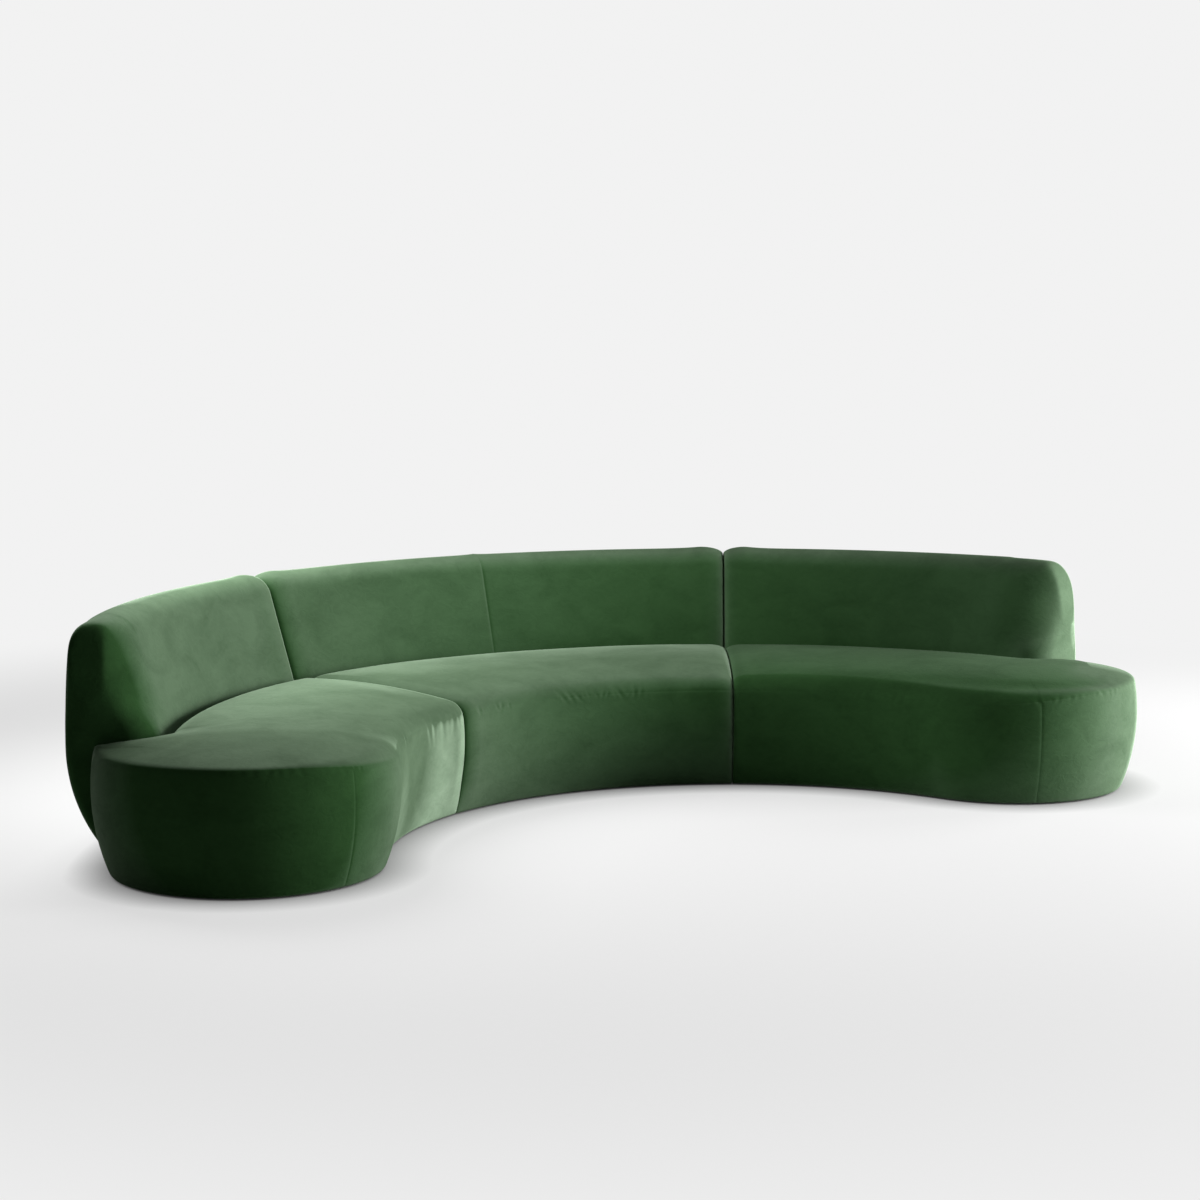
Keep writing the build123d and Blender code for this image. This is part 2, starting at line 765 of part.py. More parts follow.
def centre_unit():
    """All pieces of the centre unit."""
    seat, seat_inside = centre_seat(0), centre_seat(inner)
    back, back_inside = centre_back(0), centre_back(inner)
    bolts = bay_middles(-centre_half_angle, centre_half_angle, centre_bays)
    holes = Part() + [bolt(angle, bolt_play, False) for angle in bolts]
    threads = Part() + [bolt(angle, fit, False) for angle in bolts]
    unsewn = centre_plan(seat_back_radius - seam_stop, reach, 0, back_height, -joint_edge_radius)
    unsewn += beyond_centre(seam_depth)
    seat_seam = top_seam(seat, centre_seat(seam_depth), unsewn)
    blade = Pos(0, seat_back_radius, 0) * Box(seam_width, 2 * back_cap_setback, reach)
    back_seam = (back & blade & level(underside, reach)) - centre_back(seam_depth)
    front_far, rear_near = front_rail_radius + rail_thickness, rear_rail_radius - rail_thickness
    front = centre_plan(front_rail_radius, front_far, board_top, deck_height, joint_inset)
    rear = centre_plan(rear_near, rear_rail_radius, board_top, deck_height, joint_inset)
    far = seat_back_radius + valley_radius
    core = centre_plan(front_rail_radius - fit, far, 0, foam_floor, joint_cavity)
    strap_angles = bay_middles(-centre_half_angle, centre_half_angle, centre_straps)
    straps = [strap(angle) for angle in strap_angles]
    ends = beyond_centre(joint_inset)
    top, lower = back_rails(-centre_span, centre_span, 0)
    joint_side = unit_gap / 2 + joint_inset + board_thickness / 2
    edges = bay_edges(-centre_half_angle, centre_half_angle, centre_bays)
    places = [(angle, 0) for angle in edges[1:-1]]
    places += [(-centre_half_angle, joint_side), (centre_half_angle, -joint_side)]
    frame_space = back_core(-centre_span, centre_span, 0) - beyond_centre(joint_cavity)
    pad_space = front_zone(-centre_span, centre_span, 0)
    near = front_radius + seat_tuck + dust_cover_margin
    under_seat = centre_plan(near, rear_rail_radius, glide_height, board_bottom, dust_cover_margin)
    under_back = back_dust(-centre_span, centre_span) - beyond_centre(dust_cover_margin)
    turn = centre_half_angle - glide_turn
    feet = [radial(angle, 0, row) for row in glide_rows() for angle in (-turn, 0, turn)]
    outs = (front_radius + connector_margin, seat_back_radius - connector_margin)
    sockets = [socket(out) for out in outs]
    return {
        "seat_cover": seat - centre_seat(cover_thickness) - holes - seat_seam,
        "seat_foam": seat_inside & level(foam_floor, back_height),
        "side_foam": (seat_inside & level(board_top, foam_floor)) - core,
        "webbing": straps,
        "front_rail": front,
        "rear_rail": rear - holes,
        "seat_ribs": centre_seat_ribs(),
        "base_board": seat_inside & level(board_bottom, board_top),
        "dust_cover": [under_seat, under_back],
        "glides": [glide(place) for place in feet],
        "back_cover": back - centre_back(cover_thickness) - holes - back_seam,
        "back_front_foam": back_inside & pad_space,
        "back_outer_foam": (back_inside & level(board_top, back_height)) - pad_space - frame_space,
        "back_ribs": back_ribs(places, -centre_span, centre_span),
        "back_top_rail": top - ends,
        "back_lower_rail": lower - ends - threads,
        "back_base_board": back_inside & level(board_bottom, board_top),
        "back_bolts": [bolt(angle, 0, True) for angle in bolts],
        "connector_sockets": sockets + [mirrored(part) for part in sockets],
    }


def save(name, shape, flip):
    """Moves a piece into the sofa's frame and writes it."""
    items = shape if isinstance(shape, list) else [shape]
    solids = [solid for item in items for solid in item.solids()]
    placed = [Pos(0, curve_centre_y, 0) * (mirrored(solid) if flip else solid) for solid in solids]
    export_step(Compound(placed) if len(placed) > 1 else placed[0], f"parts/{name}.step")


os.makedirs("parts", exist_ok=True)
for name, shape in centre_unit().items():
    save("centre_" + name, shape, False)
for name, shape in end_unit().items():
    save("right_" + name, shape, False)
    save("left_" + name, shape, True)
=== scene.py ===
import json
from collections import namedtuple
from math import asin, atan2, cos, hypot, pi, radians, sin, sqrt, tan

import bmesh
import bpy
import numpy as np
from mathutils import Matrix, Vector


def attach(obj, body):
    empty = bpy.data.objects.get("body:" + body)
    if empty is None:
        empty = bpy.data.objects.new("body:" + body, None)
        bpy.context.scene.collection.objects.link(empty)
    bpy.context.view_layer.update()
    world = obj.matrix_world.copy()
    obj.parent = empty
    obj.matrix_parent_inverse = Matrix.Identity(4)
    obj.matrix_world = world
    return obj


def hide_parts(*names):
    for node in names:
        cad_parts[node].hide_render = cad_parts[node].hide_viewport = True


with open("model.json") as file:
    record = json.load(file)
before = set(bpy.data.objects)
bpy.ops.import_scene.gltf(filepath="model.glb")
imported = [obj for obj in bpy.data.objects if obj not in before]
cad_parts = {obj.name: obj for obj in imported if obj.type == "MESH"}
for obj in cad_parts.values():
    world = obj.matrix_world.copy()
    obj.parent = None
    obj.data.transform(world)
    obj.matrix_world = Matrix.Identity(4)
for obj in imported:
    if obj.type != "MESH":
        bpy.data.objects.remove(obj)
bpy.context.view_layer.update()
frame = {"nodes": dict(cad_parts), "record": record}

# Plan of the curve, as in the solids
FRONT_RADIUS = 1.114
SEAT_DEPTH = 0.742
BACK_DEPTH = 0.304
NOSE_RADIUS = 0.484
HALF_ANGLE = radians(28.6)
END_ANGLE = radians(67.6)
SEAM_GAP = 0.001
END_CORNER = 0.100
VALLEY_RADIUS = 0.070

# Sections, as in the solids
SEAT_TOP = 0.443
SEAT_EDGE_Z = 0.403
SEAT_EDGE_RADIUS = 0.072
SEAT_BULGE_Z = 0.270
SEAT_TUCK = 0.054
TOP_SEAM_Z = 0.362
NOSE_SEAM_TURN = radians(46)
BACK_TOP = 0.793
CAP_RADIUS = 0.090
CAP_SETBACK = 0.202
BACK_BULGE_Z = 0.393
BACK_TUCK = 0.170
RECLINE_Z = 0.380
RECLINE_RADIUS = 0.300
END_TOP_REACH = 0.095
END_TOP_DROP = 0.230
END_EDGE = 0.028

# Hems of the covers: 4 mm lower than in the solids, so that no base board shows, and folded under
HEM_Z = 0.004
HEM_FOLD = 0.018
FOLD_Z = HEM_Z + 0.001
HEM_HOLD = 0.05

# Rounded edges at the joints, as reach and depth. The covers of neighbours lie closer than the
# padding under them, and the rounding fades towards the hem.
COVER_GAP = 0.0006
JOINT_BOW = 0.0016
SEAT_JOINT = (0.065, 0.023)
BACK_JOINT = (0.090, 0.030)
JOINT_STEPS = 10
JOINT_HOLD_FADE = 4
JOINT_HEM_SHARE = 0.3
JOINT_FULL_Z = 0.15

# Free ends of the backs: above the seat, the padding rounds them wider than the solids
END_TOP_PROUD = 0.020
END_REACH = 0.230
END_SETBACK = 0.125
END_DROOP = 0.022
END_FULL_Z = SEAT_TOP + 0.10
SOFT_ROUNDS = 16
SOFT_START_Z = SEAT_TOP + 0.03
SOFT_FULL_Z = SEAT_TOP + 0.09

# Edge of the noses, which its seam draws tight over a stretch of their turn
NOSE_EDGE_RADIUS = 0.016
NOSE_EDGE_START = radians(8)
NOSE_EDGE_STOP = radians(85)

# Sewn seams
SEAM_HALF = 0.004
SEAM_DEPTH = 0.004
TOP_SEAM_SHARE = 0.5
NOSE_SEAM_SHARE = 0.4
BACK_SEAM_SHARE = 0.55

# Cloth that the padding presses out
SIM_FRAMES = 14
SIM_PRESSURE = 4.0
TAUT_ROUNDS = 120
EVENING = 0.5
SWELL_CAP = 0.007
START_INSET = 0.0025
VALLEY_HOLD = (0.2, 0.4, 0.6, 0.8)
HELD_WALL_ROWS = 2
NOSE_END_LINES = 12
FREE_BACK_Z = 0.47
BACK_HOLD_FADE = 0.05
LEAST_HOLD = 0.02
TINY = 1e-9

# Painted light and shade on the velvet, kept on the points: above 0 it paints the colour paler as a
# highlight, below 0 darker as shade. It changes over stretches along a piece, in metres from its joint, or
# from its end for the backs, and over rows counted from the top seam.
# painted highlight along the rounded joint edges that face the key lamp on the right, by line from the
# joint
JOINT_RIM_HIGHLIGHT = (0.4, 0.6, 0.3, 0.1)
# painted highlight on the left unit's front beside its joint with the centre unit
LEFT_FRONT_HIGHLIGHT = 1.1
LEFT_FRONT_HIGHLIGHT_STRETCH = (0.12, 0.45)
LEFT_FRONT_HIGHLIGHT_ROWS = (-3, 4)
# painted shade on the left unit's front from about half a metre beyond its joint, over its nose
LEFT_NOSE_SHADE = -0.8
LEFT_NOSE_SHADE_STRETCH = (0.5, 0.85)
LEFT_NOSE_SHADE_ROWS = 2
# painted shade on the right unit's front, from its joint
RIGHT_FRONT_SHADE = -0.5
RIGHT_FRONT_SHADE_STRETCH = (0.7, 1.1)
# painted shade on the right seat's top, where its back shades it from the key lamp
RIGHT_TOP_SHADE = -1.5
RIGHT_TOP_SHADE_STRETCH = (1.3, 1.9)
RIGHT_TOP_SHADE_ROWS = (-1, 7)
# painted shade on the last stretch of the left back, at its free end
LEFT_END_SHADE = -0.9
LEFT_END_SHADE_STRETCH = (0.75, 0.35)
# painted highlight on the last stretch of the right back, at its free end
RIGHT_END_HIGHLIGHT = 0.6
RIGHT_END_HIGHLIGHT_STRETCH = (0.4, 0.15)

# Rows of points over a seat and a back, and their spacing
ROWS_BELOW_SEAM = 8
ROWS_ABOVE_SEAM = 10
EDGE_ZONE = 0.130
EDGE_SAMPLES = 400
VALLEY_ZONE = VALLEY_RADIUS + 0.012
LEAST_MIDDLE = 0.02
INNER_ROWS = 33
VALLEY_ROWS = 9
WALL_ROWS = 12
LOW_ROWS = 14
SLOPE_ROWS = 22
ROW_STEP = 0.016
CAP_STEP = 0.011

# Lines of points along the pieces, and their spacing
END_SEAT_LINES = 64
CENTRE_SEAT_LINES = 110
END_BACK_LINES = 78
HALF_BACK_LINES = 61
FREE_END_LINES = 32
PANEL_LINES = 8
NOSE_FRONT_STEP = 0.012
NOSE_STEP = 0.015
DOUBLED = 0.0004

# Worked out from the above
SEAT_BACK = FRONT_RADIUS + SEAT_DEPTH
NOSE_CENTRE = FRONT_RADIUS + NOSE_RADIUS
NOSE_REAR = NOSE_CENTRE + NOSE_RADIUS
WALL_RADIUS = SEAT_BACK - SEAM_GAP / 2
BACK_FRONT = SEAT_BACK + SEAM_GAP / 2
CENTRE_Y = -(BACK_FRONT + BACK_DEPTH + NOSE_CENTRE * cos(END_ANGLE) - NOSE_RADIUS) / 2


def cross_of_circles(one, one_radius, two, two_radius):
    """The higher crossing of two circles of a section."""
    apart = np.subtract(two, one)
    span = hypot(*apart)
    along = (one_radius**2 - two_radius**2 + span**2) / (2 * span)
    aside = sqrt(one_radius**2 - along**2)
    foot = np.add(one, apart * along / span)
    step = np.array((-apart[1], apart[0])) * aside / span
    return max((foot + step, foot - step), key=lambda point: point[1])


def spaced(start, stop, step):
    """Evenly spaced values, about a step apart, with both ends."""
    return np.linspace(start, stop, max(2, round(abs(stop - start) / step) + 1))


def arc_points(centre, radius, first, last, step):
    """Points of an arc between two angles, about a step apart."""
    turn = spaced(first * radius, last * radius, step) / radius
    return np.stack((centre[0] + radius * np.cos(turn), centre[1] + radius * np.sin(turn)), 1)


def run_length(points):
    """Length along a row of points, up to each point."""
    return np.concatenate(([0], np.cumsum(np.linalg.norm(np.diff(points, axis=0), axis=1))))


def eased(value, start, stop):
    """0 before a start, 1 after a stop and a smooth rise between."""
    share = np.clip((value - start) / (stop - start), 0, 1)
    return share * share * (3 - 2 * share)


def placed(angle, across, out, height):
    """Points in the sofa's frame, from places in the frame of a radial line."""
    x = across * np.cos(angle) + out * np.sin(angle)
    y = out * np.cos(angle) - across * np.sin(angle) + CENTRE_Y
    return np.stack(np.broadcast_arrays(x, y, height), 1)


# Seat section

bulge_radius = ((SEAT_BULGE_Z - HEM_Z) ** 2 + SEAT_TUCK**2) / (2 * SEAT_TUCK)
crown_rise = SEAT_TOP - SEAT_EDGE_Z
crown_radius = (NOSE_RADIUS**2 + crown_rise**2) / (2 * crown_rise)
bulge_centre = np.array((bulge_radius, SEAT_BULGE_Z))
crown_centre = np.array((NOSE_RADIUS, SEAT_TOP - crown_radius))
valley_top = crown_centre[1] + sqrt(crown_radius**2 - (SEAT_DEPTH - VALLEY_RADIUS - NOSE_RADIUS) ** 2)


def tuck_at(height):
    """How far the seat's front is drawn in at a height."""
    return bulge_radius - np.sqrt(bulge_radius**2 - (height - SEAT_BULGE_Z) ** 2)


def seat_edge(radius):
    """The rounding between the seat's front and its top: its radius, centre, start and end."""
    bulge_span, crown_span = bulge_radius - radius, crown_radius - radius
    centre = cross_of_circles(bulge_centre, bulge_span, crown_centre, crown_span)
    start = bulge_centre + (centre - bulge_centre) * bulge_radius / bulge_span
    end = crown_centre + (centre - crown_centre) * crown_radius / crown_span
    return radius, centre, start, end


def seat_height(rim, ridge, wall, edge):
    """Height of the seat's top, from distances to its rim, its crown's ridge and its rear wall."""
    radius, centre, start, end = edge
    rim = np.clip(rim, 0, None)
    low = SEAT_BULGE_Z + np.sqrt(np.clip(bulge_radius**2 - (bulge_radius - rim) ** 2, 0, None))
    bend = centre[1] + np.sqrt(np.clip(radius**2 - (rim - centre[0]) ** 2, 0, None))
    crown = crown_centre[1] + np.sqrt(crown_radius**2 - ridge**2)
    top = np.where(rim < start[0], low, np.where(rim < end[0], bend, crown))
    short = np.clip(VALLEY_RADIUS - np.clip(wall, 0, None), 0, None)
    valley = valley_top - VALLEY_RADIUS + np.sqrt(VALLEY_RADIUS**2 - short**2)
    return np.where(short > 0, np.minimum(top, valley), top)


plain_edge = seat_edge(SEAT_EDGE_RADIUS)
seam_rise = (TOP_SEAM_Z - plain_edge[1][1]) / SEAT_EDGE_RADIUS


def edge_rows(edge):
    """Distances from the rim of the rows over the seat's edge, with the seam between two close rows."""
    rim = np.linspace(0, 1, EDGE_SAMPLES) ** 2 * EDGE_ZONE
    height = seat_height(rim, NOSE_RADIUS - rim, np.ones(EDGE_SAMPLES), edge)
    length = run_length(np.stack((rim, height), 1))
    seam = np.interp(edge[1][1] + seam_rise * edge[0], height, length)
    below = np.linspace(0, seam - SEAM_HALF, ROWS_BELOW_SEAM + 1)[1:]
    above = np.linspace(seam + SEAM_HALF, length[-1], ROWS_ABOVE_SEAM)
    return np.interp(np.concatenate((below, [seam], above)), length, rim)


corner_across = -SEAM_GAP / 2 - END_CORNER
corner_span = BACK_FRONT + END_CORNER
corner_out = sqrt(corner_span**2 - corner_across**2)
corner_lean = asin(corner_across / corner_span)
corner_wall = SEAM_GAP / 2 - corner_across
corner_turn = pi / 2 + corner_lean
corner_run = corner_turn * corner_wall
wall_run = corner_run + NOSE_REAR - corner_out
front_run = -corner_lean * FRONT_RADIUS
rim_run = front_run + pi * NOSE_RADIUS


def wall_distance(across, out):
    """Distance of a seat point from the wall behind it, in the frame of the end's radial line."""
    radius = np.hypot(across, out)
    flat = across - SEAM_GAP / 2
    bend = np.hypot(across - corner_across, out - corner_out) - corner_wall
    past_corner = np.arctan2(across, out) > corner_lean
    wall = np.where(past_corner, bend, WALL_RADIUS - radius)
    return np.where((out > corner_out) & (across > corner_across), flat, wall)


def end_seat_height(across, out, edge):
    """Height of an end seat's top, with its nose."""
    radius = np.hypot(across, out)
    on_nose = across > 0
    ridge = np.where(on_nose, np.hypot(across, out - NOSE_CENTRE), np.abs(radius - NOSE_CENTRE))
    rim = np.where(on_nose | (radius < NOSE_CENTRE), NOSE_RADIUS - ridge, NOSE_RADIUS)
    return seat_height(rim, ridge, wall_distance(across, out), edge)


skirt_heights = spaced(HEM_Z, SEAT_BULGE_Z, ROW_STEP)
inner_shares = spaced(0, 1, 1 / INNER_ROWS)[1:-1]
valley_distances = VALLEY_RADIUS * (1 - np.cos(np.linspace(pi / 2, 0, VALLEY_ROWS)))
valley_distances = np.concatenate(([VALLEY_ZONE], valley_distances))
wall_shares = np.linspace(0, 1, WALL_ROWS + 1)[1:]
SEAM_ROW = 1 + len(skirt_heights) + ROWS_BELOW_SEAM
WALL_ROW = SEAM_ROW + 1 + ROWS_ABOVE_SEAM + len(inner_shares) + len(valley_distances)


def seat_line(rim, inward, wall, into, recede, edge):
    """One line over the seat, in plan and height: hem, front, edge, top, valley, rear wall and hem."""
    span = hypot(*(wall - rim))
    share = min(1, span / (EDGE_ZONE + VALLEY_ZONE + LEAST_MIDDLE))
    skirt = rim + np.outer(tuck_at(skirt_heights), inward)
    fold = skirt[:1] + HEM_FOLD * inward
    border = rim + np.outer(edge_rows(edge) * share, inward)
    valley = wall - np.outer(valley_distances * share, into)
    pull = hypot(*(valley[0] - border[-1]))
    t = inner_shares[:, None]
    middle = (2 * t**3 - 3 * t**2 + 1) * border[-1] + (t**3 - 2 * t**2 + t) * pull * inward
    middle = middle + (3 * t**2 - 2 * t**3) * valley[0] + (t**3 - t**2) * pull * into
    top = np.concatenate((border, middle, valley))
    top_z = end_seat_height(top[:, 0], top[:, 1], edge)
    wall_z = top_z[-1] + (HEM_Z - top_z[-1]) * wall_shares
    down = wall + np.outer(tuck_at(np.minimum(wall_z, SEAT_BULGE_Z)), recede)
    last = down[-1:] - HEM_FOLD * share * into
    plan = np.concatenate((fold, skirt, top, down, last))
    height = np.concatenate(([FOLD_Z], skirt_heights, top_z, wall_z, [FOLD_Z]))
    return np.column_stack((plan, height))


def ring_profile():
    """The seat's line along a radial plane of the curve, as radius and height."""
    skirt = FRONT_RADIUS + tuck_at(skirt_heights)
    border = FRONT_RADIUS + edge_rows(plain_edge)
    valley = WALL_RADIUS - valley_distances
    middle = border[-1] + (valley[0] - border[-1]) * inner_shares
    top = np.concatenate((border, middle, valley))
    rim = np.where(top < NOSE_CENTRE, top - FRONT_RADIUS, NOSE_RADIUS)
    top_z = seat_height(rim, np.abs(top - NOSE_CENTRE), WALL_RADIUS - top, plain_edge)
    wall_z = top_z[-1] + (HEM_Z - top_z[-1]) * wall_shares
    wall = np.full(len(wall_z), WALL_RADIUS)
    radius = np.concatenate(([skirt[0] + HEM_FOLD], skirt, top, wall, [WALL_RADIUS - HEM_FOLD]))
    height = np.concatenate(([FOLD_Z], skirt_heights, top_z, wall_z, [FOLD_Z]))
    return np.column_stack((radius, height))


# Lines of the meshes


def outward(profile):
    """Outward normals of a profile that runs from the front hem over the top to the rear hem."""
    slope = np.gradient(profile, axis=0)
    slope /= np.maximum(np.hypot(*slope.T), TINY)[:, None]
    return np.column_stack((-slope[:, 1], slope[:, 0]))


def drawn_in(profile, depth):
    """A profile moved inwards, with its hems left at their height."""
    normal = outward(profile)
    normal[[0, 1, -2, -1], 1] = 0
    return profile - depth * normal


def joint_lines(profile, angle, side, rounding):
    """Lines of the rounded edge at a joint, from its face to the full section."""
    reach, inset = rounding
    share = (profile[:, 0] - profile[:, 0].min()) / np.ptp(profile[:, 0])
    bow = np.copysign(JOINT_BOW, angle) * np.sin(pi * share)
    full = eased(profile[:, 1], HEM_Z, JOINT_FULL_Z)[:, None]
    inset = inset * (JOINT_HEM_SHARE + (1 - JOINT_HEM_SHARE) * full)
    lines = []
    for step in np.linspace(0, pi / 2, JOINT_STEPS):
        moved = drawn_in(profile, inset * (1 - sin(step)))
        depth = COVER_GAP / 2 + (reach - COVER_GAP / 2) * (1 - cos(step))
        across = side * depth + bow * cos(step)
        out = np.sqrt(moved[:, 0] ** 2 - across**2)
        lines.append(placed(angle, across, out, moved[:, 1]))
    return lines


def sweep_lines(profile, first, last, shares):
    """Lines of a profile at shares of the way between two plan angles of each of its points."""
    lines = []
    for share in shares:
        angle = first + (last - first) * share
        lines.append(placed(angle, 0, profile[:, 0], profile[:, 1]))
    return lines


def inner_places(count):
    """Evenly spaced shares between 0 and 1, without both ends."""
    return np.linspace(0, 1, count + 2)[1:-1]


def joint_turn(profile, rounding):
    """Plan angle, from a joint's plane, at which the full section starts."""
    return np.arcsin(rounding[0] / profile[:, 0])


def rim_at(run):
    """A point of an end seat's rim, the way inwards there, and the turn that is made round the nose."""
    turn = (run - front_run) / NOSE_RADIUS
    if run < front_run:
        lean = corner_lean + run / FRONT_RADIUS
        inward = np.array((sin(lean), cos(lean)))
        return FRONT_RADIUS * inward, inward, turn
    inward = np.array((-sin(turn), cos(turn)))
    return np.array((0, NOSE_CENTRE)) - NOSE_RADIUS * inward, inward, turn


def wall_at(run):
    """A point of an end seat's rear wall, the way into it, and how its foot recedes there."""
    if run < corner_run:
        bend = run / corner_wall - corner_turn
        into = -np.array((cos(bend), sin(bend)))
        return np.array((corner_across, corner_out)) - corner_wall * into, into, np.zeros(2)
    past = run - corner_run
    wall = np.array((SEAM_GAP / 2, corner_out + past))
    return wall, np.array((-1.0, 0.0)), np.array((0, -past / (wall_run - corner_run)))


def nose_lines():
    """Lines from the last stretch of the front, and all round the nose, to the corner of the back."""
    seam = front_run + NOSE_SEAM_TURN * NOSE_RADIUS
    before = spaced(0, seam - SEAM_HALF, NOSE_FRONT_STEP)
    after = spaced(seam + SEAM_HALF, rim_run, NOSE_STEP)
    lines = []
    for run in (*before, seam, *after):
        rim, inward, turn = rim_at(run)
        wall, into, recede = wall_at(run / rim_run * wall_run)
        tight = eased(turn, NOSE_EDGE_START, NOSE_EDGE_STOP)
        edge = seat_edge(SEAT_EDGE_RADIUS + (NOSE_EDGE_RADIUS - SEAT_EDGE_RADIUS) * tight)
        line = seat_line(rim, inward, wall, into, recede, edge)
        lines.append(placed(END_ANGLE, line[:, 0], line[:, 1], line[:, 2]))
    return lines, len(before)


# Back section

cap_centre = np.array((CAP_SETBACK, BACK_TOP - CAP_RADIUS))
cap_rise = cap_centre[1] - RECLINE_Z
recline = atan2(CAP_SETBACK, cap_rise) - asin(CAP_RADIUS / hypot(CAP_SETBACK, cap_rise))
from_bulge = (CAP_SETBACK - BACK_DEPTH, cap_centre[1] - BACK_BULGE_Z)
upper_bulge = (CAP_RADIUS**2 - hypot(*from_bulge) ** 2) / (2 * (from_bulge[0] + CAP_RADIUS))
lower_bulge = ((BACK_BULGE_Z - HEM_Z) ** 2 + BACK_TUCK**2) / (2 * BACK_TUCK)


def back_branches():
    """The back's section from its front line: front with its hem, top, and outside with its hem."""
    touch = RECLINE_RADIUS * tan(recline / 2)
    knee_z = RECLINE_Z - touch
    low = np.column_stack((np.zeros(LOW_ROWS), np.linspace(HEM_Z, knee_z, LOW_ROWS)))
    knee = arc_points((RECLINE_RADIUS, knee_z), RECLINE_RADIUS, pi, pi - recline, ROW_STEP)
    lean = atan2(cap_centre[1] - BACK_BULGE_Z, CAP_SETBACK - BACK_DEPTH + upper_bulge)
    cap = arc_points(cap_centre, CAP_RADIUS, pi - recline, lean, CAP_STEP)
    slope = np.linspace(knee[-1], cap[0], SLOPE_ROWS)
    outer = arc_points((BACK_DEPTH - upper_bulge, BACK_BULGE_Z), upper_bulge, lean, 0, ROW_STEP)
    foot = asin((HEM_Z - BACK_BULGE_Z) / lower_bulge)
    under = arc_points((BACK_DEPTH - lower_bulge, BACK_BULGE_Z), lower_bulge, 0, foot, ROW_STEP)
    front = np.concatenate((low, knee[1:], slope[1:]))
    return front, cap[1:-1], np.concatenate((outer, under[1:]))


front_branch, cap_branch, outer_branch = back_branches()


def back_profile():
    """The back's line along a radial plane: hem, front, top, outside and hem, as radius and height."""
    line = np.concatenate((front_branch, cap_branch, outer_branch))
    fold = [line[0] + (HEM_FOLD, FOLD_Z - HEM_Z)]
    last = [line[-1] + (-HEM_FOLD, FOLD_Z - HEM_Z)]
    return np.concatenate((fold, line, last)) + (BACK_FRONT, 0)


def cut_branch(branch, top):
    """A branch that rises to its end, cut off at a height, with as many points as before."""
    if top >= branch[-1, 1]:
        return branch
    length = run_length(branch)
    places = length / length[-1] * np.interp(top, branch[:, 1], length)
    return np.stack([np.interp(places, length, branch[:, axis]) for axis in (0, 1)], 1)


def rounded_off(reach, depth, near):
    """How far a rounded edge has fallen away at a distance from the face it ends in."""
    short = np.maximum(0, 1 - near / reach)
    return depth * (1 - np.sqrt(1 - short**2))


def end_section(near, top):
    """The back's section close to its free end: cut off at a height, with its edges rounded."""
    across = -SEAM_GAP / 2 - near
    front = cut_branch(front_branch, top) + (BACK_FRONT, 0)
    outer = cut_branch(outer_branch[::-1], top)[::-1] + (BACK_FRONT, 0)
    front[:, 0] = np.sqrt(front[:, 0] ** 2 - across**2)
    outer[:, 0] = np.sqrt(outer[:, 0] ** 2 - across**2)
    upper = eased(front[:, 1], SEAT_TOP, END_FULL_Z)
    plain = rounded_off(END_CORNER, END_CORNER, near)
    front[:, 0] += plain + upper * (rounded_off(END_REACH, END_SETBACK, near) - plain)
    outer[:, 0] -= rounded_off(END_EDGE, END_EDGE, near)
    share = (cap_branch[:, 0] - front_branch[-1, 0]) / (outer_branch[0, 0] - front_branch[-1, 0])
    cap = np.column_stack((share, np.minimum(cap_branch[:, 1], top)))
    cap[:, 0] = front[-1, 0] + share * (outer[0, 0] - front[-1, 0])
    return np.concatenate((front, cap, outer))


def softened(points, first):
    """Evens out the points above the seat, from a line on, as padding does under a tight cover."""
    from_first = (np.arange(1, len(points) - 1) >= first)[:, None, None]
    for _ in range(SOFT_ROUNDS):
        inner = points[1:-1, 1:-1]
        around = points[:-2, 1:-1] + points[2:, 1:-1] + points[1:-1, :-2] + points[1:-1, 2:]
        share = EVENING * from_first * eased(inner[:, :, 2:], SOFT_START_Z, SOFT_FULL_Z)
        points[1:-1, 1:-1] = inner + share * (around / 4 - inner)
    return points


def end_lines():
    """Lines of a back's free end: its top falls away, its edges are rounded and its panel is flat."""
    lines = []
    for turn in np.linspace(0, pi / 2, FREE_END_LINES):
        near = END_REACH * (1 - sin(turn))
        fall = rounded_off(END_TOP_REACH, END_TOP_DROP + END_TOP_PROUD, near) - END_TOP_PROUD
        droop = END_DROOP * (1 - near / END_REACH) ** 2
        section = end_section(near, BACK_TOP - max(0, fall) - droop)
        out = np.concatenate(([section[0, 0] + HEM_FOLD], section[:, 0], [section[-1, 0] - HEM_FOLD]))
        height = np.concatenate(([FOLD_Z], section[:, 1], [FOLD_Z]))
        lines.append(np.column_stack((np.full(len(out), -SEAM_GAP / 2 - near), out, height)))
    rim = lines[-1]
    spine = (rim + rim[::-1]) / 2
    for share in np.linspace(0, 1, PANEL_LINES + 1)[1:]:
        panel = rim + (spine - rim) * share
        panel[[0, -1]] = panel[[1, -2]] + (-HEM_FOLD, 0, FOLD_Z - HEM_Z)
        lines.append(panel)
    return [placed(END_ANGLE, line[:, 0], line[:, 1], line[:, 2]) for line in lines]


# Meshes


def quilt(name, points, caps):
    """A mesh of quads through lines of equally many points, closed at the ends that caps names."""
    count, rows = points.shape[:2]
    mesh = bpy.data.meshes.new(name)
    faces = []
    for column in range(count - 1):
        for row in range(rows - 1):
            low = column * rows + row
            faces.append((low, low + 1, low + rows + 1, low + rows))
    if "first" in caps:
        faces.append(tuple(range(rows)))
    if "last" in caps:
        start = (count - 1) * rows
        faces.append(tuple(range(start + rows - 1, start - 1, -1)))
    mesh.from_pydata(points.reshape(-1, 3).tolist(), [], faces)
    piece = bpy.data.objects.new(name, mesh)
    bpy.context.scene.collection.objects.link(piece)
    return piece


